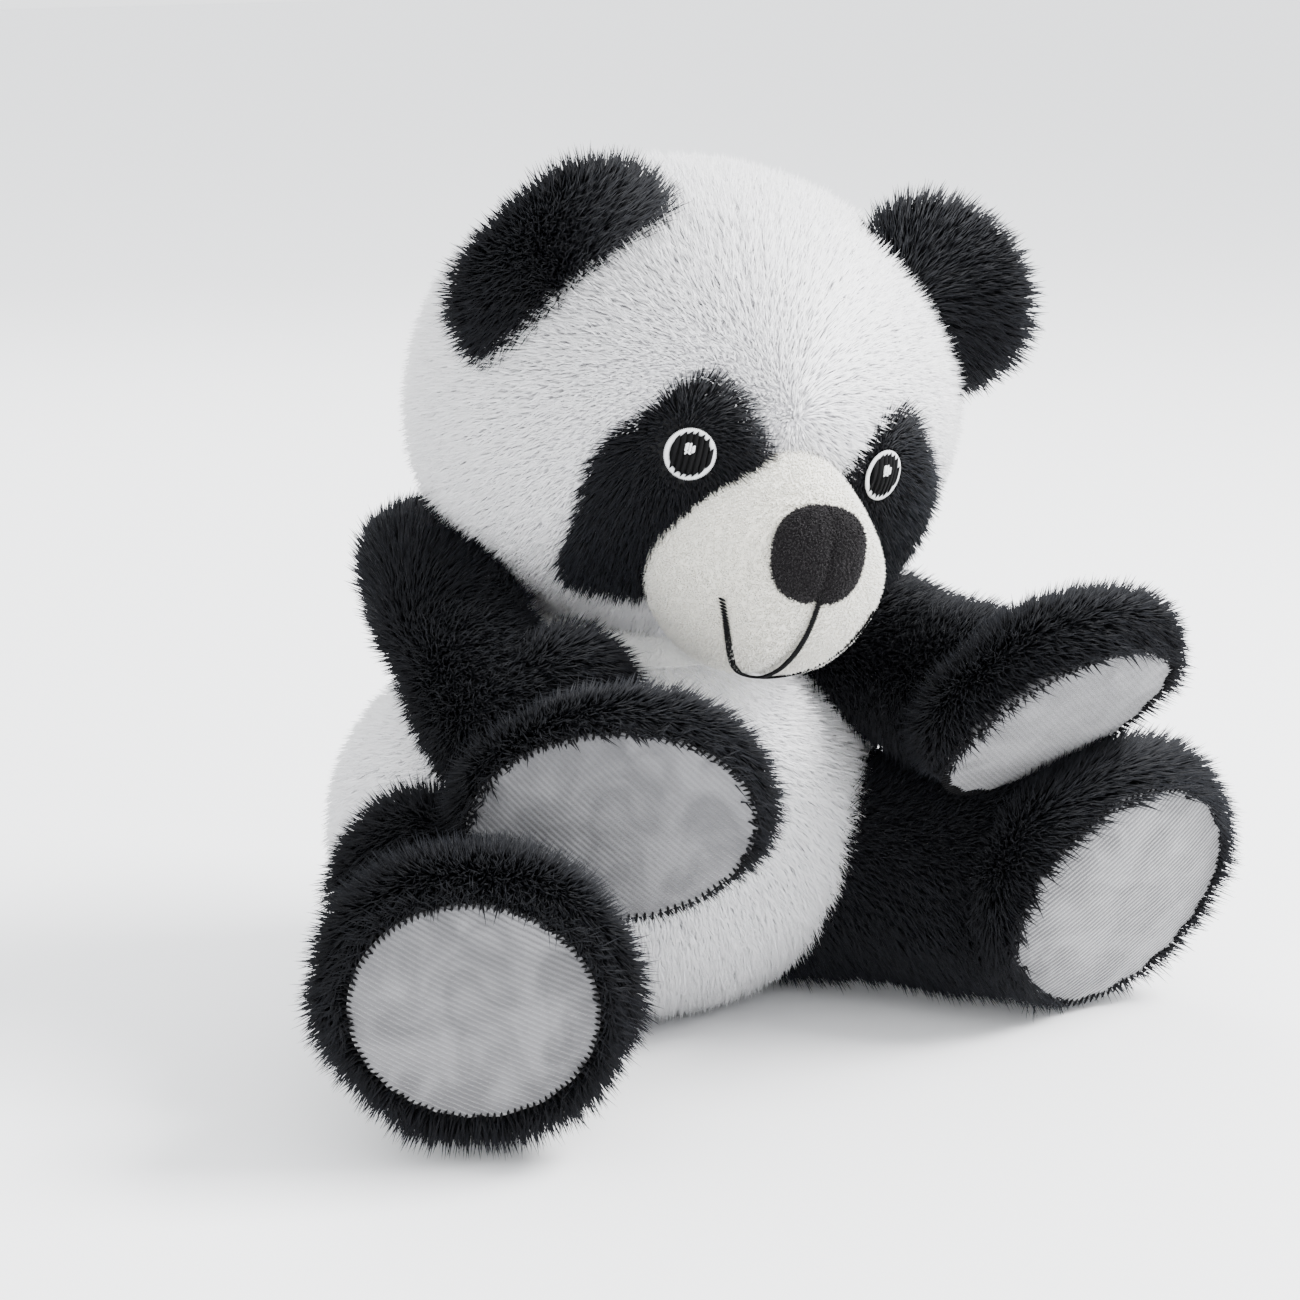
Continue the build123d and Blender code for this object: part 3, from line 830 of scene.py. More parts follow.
@dataclass
class Head:
    """White head with its muzzle, eye patches, eyes and nose, all set in the head's own frame."""

    centre: Point = (16.0, -16.0, 174.0)
    semi: Point = (77.5, 65.5, 66.5)
    nod: float = 4.0
    tilt: float = 10.0
    yaw: float = -6.0
    gusset_half: float = 28.0
    muzzle_centre: Point = (1.2, -57.0, -29.0)
    muzzle_semi: Point = (33.5, 33.0, 32.0)
    bridge_narrowing: float = 0.28
    nose_semi: Point = (13.8, 7.5, 13.6)
    nose_rise: float = 7.6
    mouth_half: float = 23.4
    mouth_angles: tuple[float, float] = (73.0, 19.0)
    patch_middle: tuple[float, float] = (34.0, -15.5)
    patch_shift: float = 4.0
    left_patch_drop: float = 3.0
    patch_semi: tuple[float, float] = (19.5, 31.0)
    patch_tilt: float = 14.0
    patch_lift: float = 1.5
    eye_place: tuple[float, float] = (30.0, -2.5)
    eye_radius: float = 6.9
    ring_width: float = 1.1

    def world(self, points: np.ndarray) -> np.ndarray:
        """Points of the head's frame, in the panda's."""
        return np.atleast_2d(points) @ turn(self.nod, self.tilt, self.yaw).T + np.array(self.centre)

    def world_direction(self, vectors: np.ndarray) -> np.ndarray:
        """Directions of the head's frame, in the panda's."""
        return np.atleast_2d(vectors) @ turn(self.nod, self.tilt, self.yaw).T

    def local(self, points: np.ndarray) -> np.ndarray:
        """Points of the panda's frame, in the head's."""
        return (points - np.array(self.centre)) @ turn(self.nod, self.tilt, self.yaw)

    def form(self) -> Form:
        """Solid form of the head without its muzzle."""
        return Form([Ball(self.centre, self.semi, tuple(map(tuple, turn(self.nod, self.tilt, self.yaw))))])

    def on_face(self, across: float, up: float, lift: float) -> np.ndarray:
        """Point of the face, in the head's frame."""
        a, b, c = (s + lift for s in self.semi)
        return np.array([across, -b * (1 - (across / a) ** 2 - (up / c) ** 2) ** 0.5, up])

    def face_normal(self, point: np.ndarray, lift: float) -> np.ndarray:
        """Normal of the face at a point of it."""
        return unit(point / (np.array(self.semi) + lift) ** 2)

    def bridge(self, rise: np.ndarray) -> np.ndarray:
        """Share of its full width that the muzzle has at a height over its middle."""
        return 1 - self.bridge_narrowing * smooth_step(rise, -4, self.muzzle_semi[2])

    def in_muzzle(self, local: np.ndarray) -> np.ndarray:
        """Height above the muzzle, in the head's frame."""
        wide = local.copy()
        wide[:, 0] /= self.bridge(local[:, 2] - self.muzzle_centre[2])
        return Ball(self.muzzle_centre, self.muzzle_semi).height(wide)

    def patch_centre(self, side: Side) -> np.ndarray:
        """Middle of an eye patch, across and up the face."""
        drop = self.left_patch_drop if side is Side.LEFT else 0.0
        return np.array([side.value * self.patch_middle[0] + self.patch_shift, self.patch_middle[1] - drop])

    def in_patch(self, local: np.ndarray, side: Side) -> np.ndarray:
        """Distance outside an eye patch, measured across the face."""
        angle = radians(self.patch_tilt) * side.value
        flat = local[:, [0, 2]] - self.patch_centre(side)
        flat = flat @ np.array([[cos(angle), -sin(angle)], [sin(angle), cos(angle)]])
        wobble = 1 + 0.05 * np.sin(5 * np.arctan2(flat[:, 1], flat[:, 0]) + side.value)
        share = np.linalg.norm(flat / np.array(self.patch_semi), axis=1) / wobble
        return np.where(local[:, 1] < 0, (share - 1) * self.patch_semi[0], 99.0)

    def build(self, mill: Mill, others: list[Form]) -> None:
        """Builds every piece that the head carries.

        Args:
            mill: grows the pile and sews.
            others: forms that hide the cloth inside them.
        """
        self.build_covers(mill, others)
        self.build_muzzle(mill)
        self.build_nose(mill)
        self.build_mouth(mill)
        for side in Side:
            self.build_patch(mill, side)
            self.build_eye(mill, side)

    def build_covers(self, mill: Mill, others: list[Form]) -> None:
        """White covers: a gusset over the crown and a panel each side."""
        skin = stuffed_skin("head_skin", self.form())
        points, facing = corners(skin), normals(skin)
        local = self.local(points)
        clear = np.min([form.height(points) for form in others], axis=0)
        open_face = np.minimum(self.in_muzzle(local) - 0.5, np.minimum(
            self.in_patch(local, Side.LEFT), self.in_patch(local, Side.RIGHT)))
        put_values(skin, "cover", smooth_step(clear, -9, -6) * smooth_step(open_face, 0.0, 1.5))
        near = smooth_step(open_face, 0, 26)
        put_values(skin, "rise", (0.55 + 0.45 * near) * (1 + 0.1 * wave(points, 25, 2.0)))
        brow = self.world(np.array([0, -64.0, 10.0]))[0]
        put_values(skin, "comb", hang(points, facing, brow, 0.35))
        middle = self.local(face_centres(skin))
        panels = {
            "head_gusset": np.abs(middle[:, 0]) <= self.gusset_half,
            "head_left_panel": middle[:, 0] > self.gusset_half,
            "head_right_panel": middle[:, 0] < -self.gusset_half,
        }
        for seed, (node, keep) in enumerate(panels.items()):
            name = node.replace("panel", "cover") if "panel" in node else node + "_cover"
            cover = cut_faces(skin, keep, name)
            cover = mill.grow(cover, WHITE_PILE, WHITE_PLUSH, 31 + seed)
            dress(cover, "head", "white_plush", node, fill=0.9)
        bpy.data.objects.remove(skin)

    def ball_piece(self, name: str, centre: Sequence[float], semi: Sequence[float],
                   rows: int) -> bpy.types.Object:
        """A closed ball in the head's frame, with its pole forward."""
        points, faces = sphere_grid(rows, 2 * rows)
        forward = points[:, [0, 2, 1]] * np.array([1, -1, 1])
        return mesh_object(name, self.world(forward * np.array(semi) + np.array(centre)), faces)

    def build_muzzle(self, mill: Mill) -> None:
        """Ivory muzzle, pulled in along the mouth and fuller in the cheeks."""
        muzzle = self.ball_piece("muzzle_skin", self.muzzle_centre, self.muzzle_semi, 40)
        local = self.local(corners(muzzle))
        rel = local - np.array(self.muzzle_centre)
        low = smooth_step(-rel[:, 2], 2, 26)
        groove = np.exp(-((rel[:, 0] / 3.5) ** 2)) * low
        rel *= (1 - 0.035 * groove)[:, None]
        cheek = np.exp(-(((np.abs(rel[:, 0]) - 15) / 10) ** 2)) * low
        rel *= (1 + 0.03 * cheek)[:, None]
        rel[:, 0] *= self.bridge(rel[:, 2])
        move_corners(muzzle, self.world(rel + np.array(self.muzzle_centre)))
        points, facing = corners(muzzle), normals(muzzle)
        inside = self.form().height(points)
        put_values(muzzle, "cover", smooth_step(inside, -3, 0))
        put_values(muzzle, "rise", np.ones(len(points)))
        put_values(muzzle, "comb", hang(points, facing, self.world(np.array([0, -90, 0]))[0], 0.5))
        muzzle = mill.grow(muzzle, VELOUR_PILE, MUZZLE_VELOUR, 41)
        dress(muzzle, "head", "muzzle_velour", "muzzle_cover", fill=0.8)

    def build_nose(self, mill: Mill) -> None:
        """Rounded fleece nose with a crease down its middle."""
        _, y, z = self.muzzle_centre
        seat = y - self.muzzle_semi[1] * (1 - (self.nose_rise / self.muzzle_semi[2]) ** 2) ** 0.5
        centre = np.array([0.0, seat + 1.5, z + self.nose_rise])
        nose = self.ball_piece("nose_cushion", centre, self.nose_semi, 20)
        rel = self.local(corners(nose)) - centre
        square = 1 + 0.035 * np.cos(4 * np.arctan2(rel[:, 2], rel[:, 0]) + pi)
        rel[:, [0, 2]] *= square[:, None]
        crease = np.exp(-((rel[:, 0] / 1.3) ** 2)) * (rel[:, 1] < 0)
        rel[:, 1] += 1.1 * crease
        move_corners(nose, self.world(rel + centre))
        points, facing = corners(nose), normals(nose)
        put_values(nose, "cover", np.ones(len(points)))
        put_values(nose, "rise", np.full(len(points), 0.9))
        put_values(nose, "comb", hang(points, facing, self.world(centre + np.array([0, 0, 20]))[0]))
        nose = mill.grow(nose, VELOUR_PILE, NOSE_FLEECE, 42)
        dress(nose, "head", "nose_fleece", "nose", fill=1.0)

    def on_muzzle(self, across: float, down: float, lift: float) -> np.ndarray:
        """Point of the muzzle across its middle and turned down from straight ahead, in its frame."""
        a, b, c = (s + lift for s in self.muzzle_semi)
        ring = (1 - (across / a) ** 2) ** 0.5
        x, y, z = self.muzzle_centre
        return np.array([x + across, y - b * ring * cos(radians(down)), z - c * ring * sin(radians(down))])

    def build_mouth(self, mill: Mill) -> None:
        """Stitched mouth: a line down from the nose and a curve up each cheek."""
        low, high = self.mouth_angles
        routes = [[(0.0, angle) for angle in np.linspace(2, low, 60)]]
        share = np.linspace(0, 1, 60)
        down = high + (low - high) * (1 - share**2) ** 0.95
        for sign in (-1, 1):
            routes.append([(sign * self.mouth_half * a, d) for a, d in zip(share, down)])
        rows = []
        for number, route in enumerate(routes):
            path = np.array([self.on_muzzle(a, d, 1.3) for a, d in route])
            rel = path - np.array(self.muzzle_centre)
            facing = rel / np.array(self.muzzle_semi) ** 2
            facing /= np.linalg.norm(facing, axis=1)[:, None]
            rows.append(mill.sew(f"mouth_row_{number}", self.world(path), self.world_direction(facing),
                                 2.6, 0.8, Stitch.SATIN, BLACK_THREAD))
        mouth = join(rows, "mouth_stitches")
        dress(mouth, "head", "black_thread", "mouth_stitching")

    def build_patch(self, mill: Mill, side: Side) -> None:
        """Black patch round an eye, with its shorter pile."""
        name = f"{side.word}_eye_patch"
        points, faces = [], []
        rings, spokes = 26, 72
        angle = radians(self.patch_tilt) * side.value
        middle = self.patch_centre(side)
        for ring in range(rings + 1):
            for spoke in range(spokes if ring else 1):
                t = 2 * pi * spoke / spokes
                radius = ring / rings * (1 + 0.05 * sin(5 * t + side.value))
                u, v = self.patch_semi[0] * radius * cos(t), self.patch_semi[1] * radius * sin(t)
                across = middle[0] + u * cos(angle) - v * sin(angle)
                up = middle[1] + u * sin(angle) + v * cos(angle)
                lift = self.patch_lift * (1 - max(0.0, ring - rings + 3) / 3)
                points.append(self.on_face(across, up, lift))
        for spoke in range(spokes):
            faces.append((0, 1 + (spoke + 1) % spokes, 1 + spoke))
        for ring in range(1, rings):
            a, b = 1 + (ring - 1) * spokes, 1 + ring * spokes
            faces += [(a + j, a + (j + 1) % spokes, b + (j + 1) % spokes, b + j) for j in range(spokes)]
        local = np.array(points)
        patch = mesh_object(name + "_cloth", self.world(local), faces)
        facing = normals(patch)
        outward = self.world_direction(local / np.array(self.semi) ** 2)
        if np.mean(np.sum(facing * outward, axis=1)) < 0:
            patch.data.flip_normals()
            facing = normals(patch)
        eye = self.on_face(side.value * self.eye_place[0], self.eye_place[1], 0)
        from_eye = np.linalg.norm(local - eye, axis=1)
        put_values(patch, "cover", smooth_step(from_eye, self.eye_radius - 0.4, self.eye_radius + 0.6)
                   * smooth_step(self.in_muzzle(local), -2.5, -0.5))
        put_values(patch, "rise", 0.35 + 0.65 * smooth_step(from_eye, self.eye_radius, self.eye_radius + 9))
        put_values(patch, "comb", hang(self.world(local), facing, self.world(eye)[0], 0.5))
        patch = mill.grow(patch, PATCH_PILE, BLACK_PLUSH, 51 + side.value)
        dress(patch, "head", "black_plush", name)

    def build_eye(self, mill: Mill, side: Side) -> None:
        """Embroidered eye: satin rows for the pupil, radial stitches for the ring, a few for the glint."""
        middle = self.on_face(side.value * self.eye_place[0], self.eye_place[1], self.patch_lift + 0.8)
        out = self.face_normal(middle, self.patch_lift)
        axes = frame_of((1, 0, 0), out)

        def place(flat: np.ndarray) -> np.ndarray:
            crown = 1.6 * (1 - np.sum(flat**2, axis=1) / self.eye_radius**2)
            return self.world(middle + flat @ axes[:, :2].T + crown[:, None] * out)

        def rows(radius: float, pitch: float, step: float, at: Sequence[float] = (0, 0)) -> np.ndarray:
            found = [
                (x, y) for y in np.arange(-radius, radius, pitch) for x in np.arange(-radius, radius, step)
                if x * x + y * y < radius * radius
            ]
            return np.array(found) + np.array(at)

        facing = self.world_direction(out)[0]
        inner = self.eye_radius - self.ring_width
        specs = [
            ("eye_pupil", rows(inner, 0.42, 1.6), 2.6, 0.62, Stitch.SATIN, BLACK_THREAD, False),
            ("eye_ring", np.array([(self.eye_radius - 0.6) * np.array([cos(t), sin(t)])
                                   for t in np.linspace(0, 2 * pi, 90, endpoint=False)]),
             self.ring_width + 0.7, 0.75, Stitch.RADIAL, WHITE_THREAD, True),
            ("eye_glint", rows(1.5, 0.45, 0.9, (-0.9, 1.6)), 1.3, 0.6, Stitch.SATIN,
             WHITE_THREAD, False),
        ]
        for name, flat, length, thickness, stitch, finish, closed in specs:
            path = place(flat) + (facing * 0.5 if name == "eye_glint" else 0)
            row = mill.sew(f"{side.word}_{name}_stitches", path, np.tile(facing, (len(flat), 1)),
                           length, thickness, stitch, finish, closed)
            dress(row, "head", finish.name, f"{side.word}_{name}")


@dataclass
class Ear:
    """Half-round black ear, cupped forward, sewn along a seam line on the head."""

    side: Side
    head: Head
    length: float = 27.0
    height: float = 27.0
    thickness: float = 5.0
    cup: float = 5.0
    place: Point = (58.0, -22.0, 37.0)
    seam: Point = (-34.0, -4.0, 38.0)
    shift: Point = (0.0, 0.0, 0.0)

    def build(self, mill: Mill) -> None:
        """Builds the ear and its pile, front and back."""
        sign = np.array([self.side.value, 1, 1])
        seam = unit(np.array(self.seam) * sign)
        middle = np.array(self.place) * sign
        outward = unit(middle - seam * (middle @ seam))
        front = np.cross(seam, outward)
        front *= -np.sign(front[1])
        middle = middle + np.array(self.shift) @ np.stack([seam, outward, front])
        points, faces = sphere_grid(30, 60)
        flat = points * np.array([self.length, self.height, self.thickness])
        flat[:, 2] += self.cup * ((flat[:, 1] / self.height) ** 2 - 0.3 * (flat[:, 0] / self.length) ** 2)
        local = flat @ np.stack([seam, outward, front]) + middle
        ear = mesh_object(f"{self.side.word}_ear", self.head.world(local), faces)
        if np.mean(np.sum(normals(ear) * (corners(ear) - self.head.world(middle)), axis=1)) < 0:
            ear.data.flip_normals()
        world, facing = corners(ear), normals(ear)
        inside = self.head.form().height(world)
        put_values(ear, "cover", smooth_step(inside, -6, -3))
        put_values(ear, "rise", 0.85 + 0.2 * wave(world, 12, 3.0))
        root = self.head.world(middle - outward * 10)[0]
        put_values(ear, "comb", hang(world, facing, root, 0.1))
        part = face_centres(ear) - self.head.world(middle)
        forward = part @ self.head.world_direction(front)[0] > self.cup * 0.3
        for name, keep, seed in (("front", forward, 61), ("back", ~forward, 63)):
            cover = cut_faces(ear, keep, f"{self.side.word}_ear_{name}_cover")
            cover = mill.grow(cover, BLACK_PILE, BLACK_PLUSH, seed + self.side.value)
            dress(cover, f"{self.side.word}_ear", "black_plush", f"{self.side.word}_ear_{name}", fill=0.4)
        bpy.data.objects.remove(ear)


@dataclass
class Pad:
    """Velour pad on the flat end of a limb."""

    name: str
    centre: Point
    normal: Point
    along: Point
    semi: tuple[float, float]
    crown: float = 3.0
    ribs_turn: float = 0.0

    @property
    def axes(self) -> np.ndarray:
        """Columns along, across and out of the pad."""
        return frame_of(self.along, self.normal)

    def point(self, u: float, v: float, lift: float) -> np.ndarray:
        """Place on the pad, u and v from the middle."""
        return np.array(self.centre) + self.axes @ np.array([u, v, lift])

    def build(self, mill: Mill, body: str) -> None:
        """Builds the padded disc and its edge seam.

        Args:
            mill: sews the edge.
            body: body that the pad rides on.
        """
        rings, spokes = 30, 96
        flat = [(0.0, 0.0, self.crown)]
        for ring in range(1, rings + 1):
            share = ring / rings
            for spoke in range(spokes):
                t = 2 * pi * spoke / spokes
                pucker = 0.35 * share**6 * sin(23 * t + 2 * sin(3 * t))
                swell = 0.5 * sin(3.1 * share * cos(t) + 1.1) * sin(2.7 * share * sin(t) - 0.6)
                lift = self.crown * (1 - share**2.6) + (pucker + swell * (1 - share))
                flat.append((self.semi[0] * share * cos(t), self.semi[1] * share * sin(t), lift))
        front = len(flat)
        flat += [(u * 0.97, v * 0.97, -3.0) for u, v, _ in flat[front - spokes:front]]
        flat.append((0.0, 0.0, -3.0))
        faces = [(0, 1 + j, 1 + (j + 1) % spokes) for j in range(spokes)]
        for ring in range(rings):
            a, b = 1 + ring * spokes, 1 + (ring + 1) * spokes
            faces += [(a + j, b + j, b + (j + 1) % spokes, a + (j + 1) % spokes) for j in range(spokes)]
        a, last = 1 + rings * spokes, len(flat) - 1
        faces += [(a + j, last, a + (j + 1) % spokes) for j in range(spokes)]
        flat = np.array(flat)
        pad = mesh_object(self.name + "_cushion", flat @ self.axes.T + np.array(self.centre), faces)
        layer = pad.data.uv_layers.new(name="nap")
        order = np.empty(len(pad.data.loops), int)
        pad.data.loops.foreach_get("vertex_index", order)
        angle = radians(self.ribs_turn)
        nap = flat[:, :2] @ np.array([[cos(angle), -sin(angle)], [sin(angle), cos(angle)]])
        layer.data.foreach_set("uv", nap[order].astype(np.float32).ravel())
        pad.data.materials.append(mill.wardrobe.get(PAD_VELOUR))
        dress(pad, body, "pad_velour", self.name, fill=0.7)
        edge = np.array([self.point(self.semi[0] * cos(t), self.semi[1] * sin(t), 0.4)
                         for t in np.linspace(0, 2 * pi, 110, endpoint=False)])
        seam = mill.sew(self.name + "_edge_stitches", edge, np.tile(unit(self.normal), (110, 1)),
                        3.6, 0.8, Stitch.OVERLOCK, BLACK_THREAD, closed=True)
        dress(seam, body, "black_thread")


@dataclass
class Limb:
    """Black limb: a chain of soft parts that ends in a padded paw or foot."""

    name: str
    parts: list
    pad: Pad
    end_semi: Point
    end_depth: float
    pile: Pile
    seam_rise: float = 2.0
    bare_chin: float = 0.0
    flat_gap: float = 1.2
    fill_gap: float = 4.5

    def end_ball(self) -> Ball:
        """Paw or foot behind the pad."""
        axes = self.pad.axes
        centre = np.array(self.pad.centre) - axes[:, 2] * self.end_depth
        return Ball(tuple(centre), self.end_semi, tuple(map(tuple, axes)))

    def form(self) -> Form:
        """Solid form of the whole limb."""
        return Form([*self.parts, self.end_ball()])

    def build(self, mill: Mill, others: list[Form]) -> None:
        """Builds the limb's two covers and its pad.

        Args:
            mill: grows the pile and sews.
            others: forms that hide the cloth inside them.
        """
        skin = stuffed_skin(self.name + "_skin", self.form(), rounds=4)
        points = corners(skin)
        out = self.pad.axes[:, 2]
        ahead = (points - np.array(self.pad.centre)) @ out + self.flat_gap
        points -= np.maximum(ahead, 0)[:, None] * out
        points += normals(skin) * (1.1 * wave(points, 9, 4.0))[:, None]
        points[:, 2] = np.maximum(points[:, 2], 1.5)
        move_corners(skin, points)
        facing = normals(skin)
        flat = (points - np.array(self.pad.centre)) @ self.pad.axes[:, :2]
        radius = np.linalg.norm(flat / np.array(self.pad.semi), axis=1)
        on_end = ahead > -0.8
        under_pad = on_end & (radius < 0.985)
        clear = np.min([form.height(points) for form in others], axis=0)
        put_values(skin, "cover", smooth_step(clear, -9, -6) * ~under_pad)
        floor = smooth_step(points[:, 2], 0, 15)
        up = unit(np.array([0, 0, 1.0]) - out * out[2])
        chin = smooth_step((np.array(self.pad.centre) - points) @ up, 10, 24) * smooth_step(ahead, -14, -4)
        rise = (0.28 + 0.72 * floor) * (1 - self.bare_chin * chin)
        put_values(skin, "rise", rise * (1 + 0.15 * wave(points, 11, 5.0)))
        root = np.array(frame_joint(self.name.replace("arm", "shoulder").replace("leg", "hip"))["pos_m"]) / MM
        comb = hang(points, facing, root, 0.25)
        outward = points - np.array(self.pad.centre)
        outward /= np.linalg.norm(outward, axis=1)[:, None]
        comb = np.where(on_end[:, None], 0.15 * out + 0.85 * outward, comb)
        put_values(skin, "comb", comb)
        upper = (face_centres(skin) - self.pad.point(0, 0, 0)) @ self.pad.axes[:, 1] > self.seam_rise
        for number, (panel, keep) in enumerate((("outer", upper), ("inner", ~upper))):
            cover = cut_faces(skin, keep, f"{self.name}_{panel}_cover")
            cover = mill.grow(cover, self.pile, BLACK_PLUSH, 71 + number + 2 * len(self.name))
            dress(cover, self.name, "black_plush", f"{self.name}_{panel}_panel", fill=0.8)
        bpy.data.objects.remove(skin)
        self.build_fill(mill)
        self.pad.build(mill, self.name)

    def build_fill(self, mill: Mill) -> None:
        """Stuffing inside the covers, flat behind the pad."""
        fill = stuffed_skin(self.name + "_fill", self.form().grown(-self.fill_gap), voxel=4.0)
        points = corners(fill)
        out = self.pad.axes[:, 2]
        ahead = (points - np.array(self.pad.centre)) @ out + self.fill_gap
        points -= np.maximum(ahead, 0)[:, None] * out
        points[:, 2] = np.maximum(points[:, 2], self.fill_gap)
        move_corners(fill, points)
        fill.data.materials.append(mill.wardrobe.get(FILL))
        dress(fill, self.name, "stuffing", f"{self.name}_stuffing", fill=0.8)


def join(pieces: list[bpy.types.Object], name: str) -> bpy.types.Object:
    """One piece from several.

    Args:
        pieces: what is joined.
        name: name of the result.

    Returns:
        The joined piece.
    """
    with bpy.context.temp_override(active_object=pieces[0], selected_editable_objects=pieces):
        bpy.ops.object.join()
    pieces[0].name = pieces[0].data.name = name
    return pieces[0]


def frame_joint(name: str) -> dict:
    """The joint of a name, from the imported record."""
    return next(joint for joint in frame["joints"] if joint["name"] == name)


def make_limbs() -> list[Limb]:
    """The four limbs as the panda holds them."""
    paw = (40.0, 31.0, 16.5)
    feet = {Side.RIGHT: (38.0, 35.5, 21.5), Side.LEFT: (39.5, 38.5, 21.5)}
    pads = {
        "right_arm": Pad("right_paw_pad", (-60, -100, 81.5), (-0.52, -0.81, -0.29),
                         (0.77, -0.53, 0.10), (38, 28.5), ribs_turn=38.0),
        "left_arm": Pad("left_paw_pad", (77, -112, 94), (0, -0.69, -0.73),
                        (0.27, -0.92, 0.26), (37, 30.0), ribs_turn=-25.0),
        "right_leg": Pad("right_sole_pad", (-108, -112, 43.5), (-0.52, -0.81, -0.20),
                         (0.84, -0.54, 0), (32, 31), ribs_turn=62.0),
        "left_leg": Pad("left_sole_pad", (104, -108, 38.5), (0.05, -0.92, -0.375),
                        (1, 0.05, 0), (37, 37.5), ribs_turn=-48.0),
    }
    arm_roots = {
        Side.RIGHT: ((-52.5, 9.5, 129), 17.0, (-66.5, -54, 98), 17.0),
        Side.LEFT: ((62, 4, 105), 19.0, (77, -57, 94), 20.5),
    }
    limbs = []
    for side in Side:
        shoulder, root_radius, elbow, elbow_radius = arm_roots[side]
        pad = pads[f"{side.word}_arm"]
        wrist = tuple(np.array(pad.centre) - pad.axes[:, 2] * 12 - pad.axes[:, 0] * 8)
        parts = [Stem(shoulder, root_radius, elbow, elbow_radius), Stem(elbow, elbow_radius, wrist, 17.5)]
        if side is Side.RIGHT:
            parts.append(Ball((-49, -58, 107), (16, 16, 16)))
        limbs.append(Limb(f"{side.word}_arm", parts, pad, paw, 9.0, SHORT_PILE, bare_chin=0.75))
        pad = pads[f"{side.word}_leg"]
        hip = np.array(frame_joint(f"{side.word}_hip")["pos_m"]) / MM
        ankle = np.array(pad.centre) - pad.axes[:, 2] * 16
        low = np.array([0, 0, 9.0])
        parts = [Stem(hip, 24.5, ankle, 29.0), Stem(tuple(hip - low), 24.0, tuple(ankle - low), 29.0)]
        if side is Side.RIGHT:
            parts.append(Ball((-91, -53, 61), (20, 20, 18)))
        limbs.append(Limb(f"{side.word}_leg", parts, pad, feet[side], 11.0, BLACK_PILE))
    return limbs


@dataclass
class Label:
    """Blank satin ribbon, folded double and caught in the back seam."""

    width: float = 16.0
    length: float = 40.0
    height: float = 26.0
    gap: float = 0.5

    def build(self, mill: Mill) -> None:
        """Builds the folded ribbon."""
        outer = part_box("sewn_in_label")[1][1] / MM
        half = self.length / 2
        columns, rows = 24, 8
        points, faces = [], []
        for column in range(columns + 1):
            run = self.length * column / columns
            back = run if run < half else self.length - run
            side = self.gap * (1 if run < half else -1) * min(1.0, abs(run - half) / 1.5)
            for row in range(rows + 1):
                z = self.height + self.width * (row / rows - 0.5)
                curl = 1.2 * sin(0.12 * back) * (row / rows)
                points.append((side + curl, outer - (half - back), z - 0.02 * back))
        for column in range(columns):
            for row in range(rows):
                a = column * (rows + 1) + row
                faces.append((a, a + rows + 1, a + rows + 2, a + 1))
        label = mesh_object("sewn_in_label_ribbon", np.array(points), faces)
        label.data.materials.append(mill.wardrobe.get(LABEL_SATIN))
        dress(label, "torso", "label_satin", "sewn_in_label")


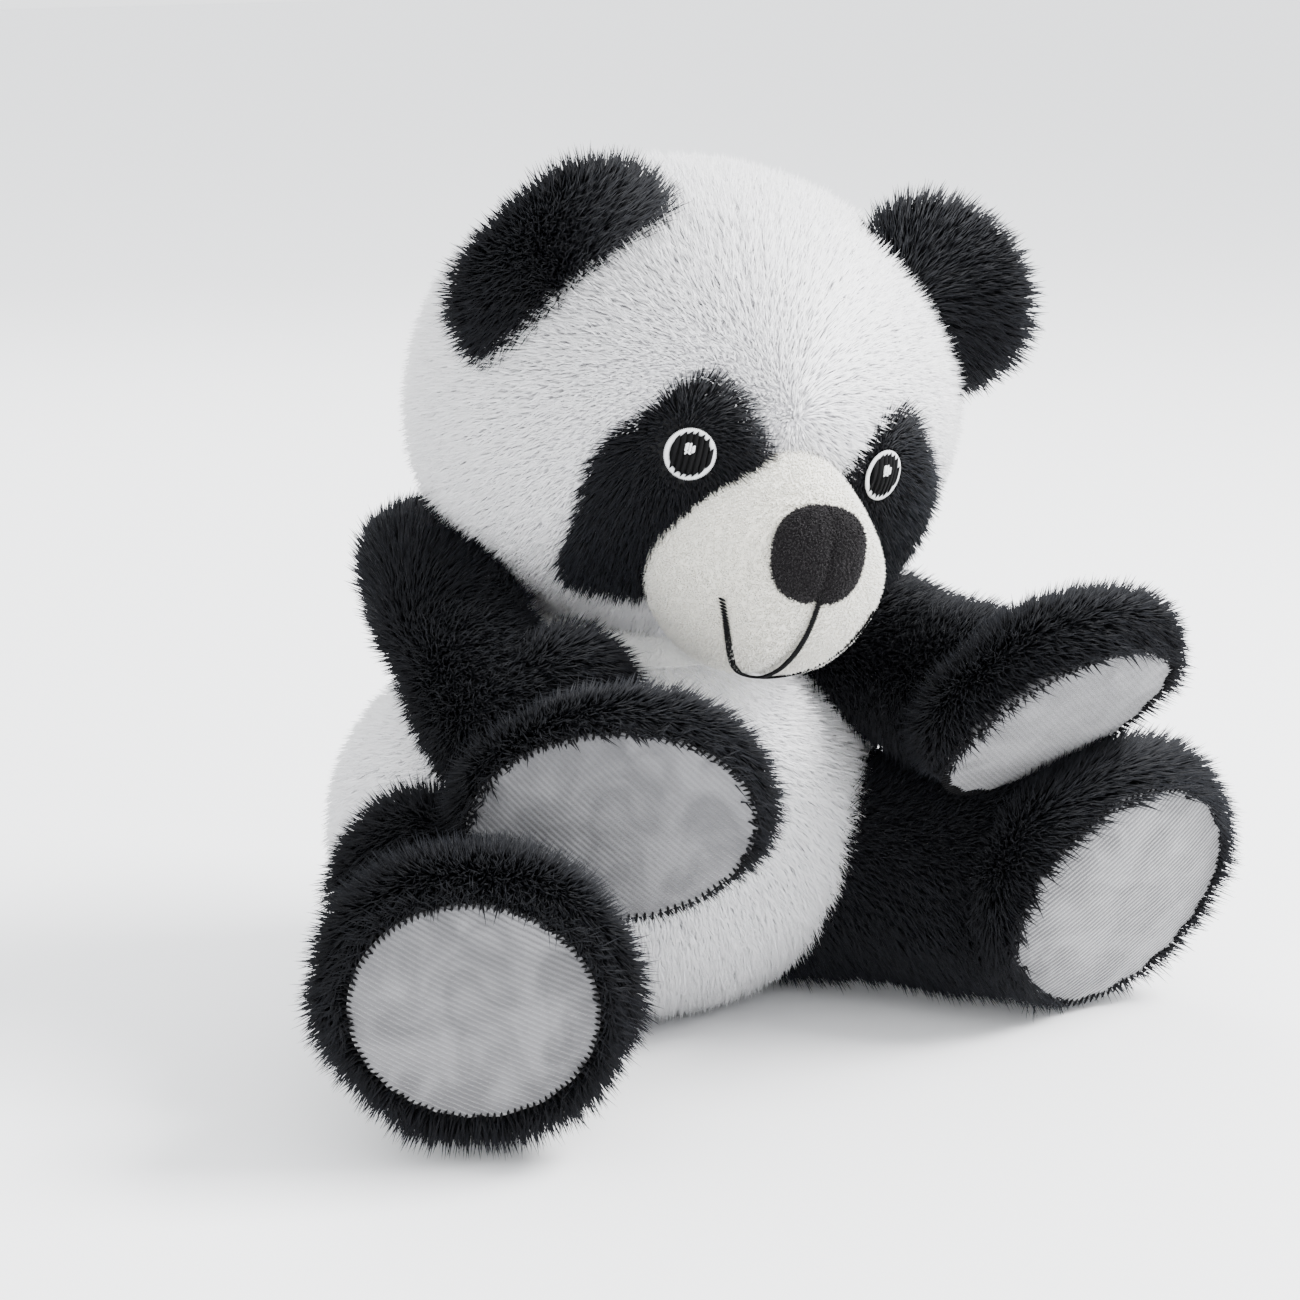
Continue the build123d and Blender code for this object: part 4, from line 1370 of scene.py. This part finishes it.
@dataclass
class Studio:
    """Pale floor, soft light and the camera."""

    azimuth: float = -32.0
    elevation: float = 13.0
    distance: float = 1000.0
    target: Point = (3.0, -18.0, 105.0)
    lens: float = 96.8
    floor_reach: float = 6000.0

    def build(self) -> None:
        """Builds the floor, the lights and the camera."""
        world = bpy.data.worlds.new("studio")
        world.use_nodes = True
        world.node_tree.nodes["Background"].inputs["Color"].default_value = (0.96, 0.98, 1.0, 1)
        world.node_tree.nodes["Background"].inputs["Strength"].default_value = 2.4
        bpy.context.scene.world = world
        reach = self.floor_reach
        floor = mesh_object("studio_floor", np.array(
            [(-reach, -reach, 0), (reach, -reach, 0), (reach, reach, 0), (-reach, reach, 0)]), [(0, 1, 2, 3)])
        made, _, surface = new_finish("pale_floor")
        surface.inputs["Base Color"].default_value = (0.92, 0.92, 0.93, 1)
        surface.inputs["Roughness"].default_value = 0.9
        floor.data.materials.append(made)
        self.lamp("key", (900, -700, 1300), 700, 85.0)
        self.lamp("fill", (-1100, -900, 500), 900, 8.0)
        self.lamp("rim", (300, 1100, 900), 800, 10.0)
        target = np.array(self.target)
        a, e = radians(self.azimuth), radians(self.elevation)
        back = np.array([sin(a) * cos(e), -cos(a) * cos(e), sin(e)])
        data = bpy.data.cameras.new("camera")
        data.lens, data.sensor_width = self.lens, 36.0
        camera = bpy.data.objects.new("camera", data)
        camera.location = (target + back * self.distance) * MM
        camera.rotation_euler = (pi / 2 - e, 0, a)
        bpy.context.scene.collection.objects.link(camera)
        bpy.context.scene.camera = camera

    def lamp(self, name: str, place: Point, size: float, power: float) -> None:
        """A square soft light that faces the panda."""
        data = bpy.data.lights.new(name, "AREA")
        data.size, data.energy = size * MM, power
        lamp = bpy.data.objects.new(name, data)
        lamp.location = np.array(place) * MM
        away = unit(np.array(place) - np.array(self.target))
        lamp.rotation_euler = (np.arccos(away[2]), 0, np.arctan2(away[0], -away[1]))
        bpy.context.scene.collection.objects.link(lamp)


def dress_hidden_nodes(wardrobe: Wardrobe) -> None:
    """Gives the stuffing and the other inner pieces their finish."""
    for node in frame["nodes"].values():
        if not node.hide_render:
            for place in node.material_slots:
                place.material = wardrobe.get(FILL)


def main() -> None:
    """Builds the panda and its studio."""
    logging.basicConfig(level=logging.INFO, format="%(name)s %(message)s")
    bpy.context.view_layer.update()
    wardrobe = Wardrobe()
    mill = Mill(wardrobe)
    torso, head, limbs = Torso(), Head(), make_limbs()
    limb_forms = {limb.name: limb.form() for limb in limbs}
    torso.build(mill, [head.form().grown(-6), *limb_forms.values()])
    head.build(mill, [torso.form().grown(-6), *limb_forms.values()])
    Ear(Side.RIGHT, head, length=30.0, height=28.5, seam=(-37.0, -4.0, 34.5),
        shift=(0.0, 0.5, 3.0)).build(mill)
    Ear(Side.LEFT, head, height=24.0, seam=(-21.0, -4.0, 45.0), shift=(3.5, 2.5, 0.0)).build(mill)
    for limb in limbs:
        rest = [form for name, form in limb_forms.items() if name != limb.name]
        limb.build(mill, [torso.form(), head.form(), *rest])
    Label().build(mill)
    mill.close()
    dress_hidden_nodes(wardrobe)
    Studio().build()


if __name__ == "__main__":
    main()
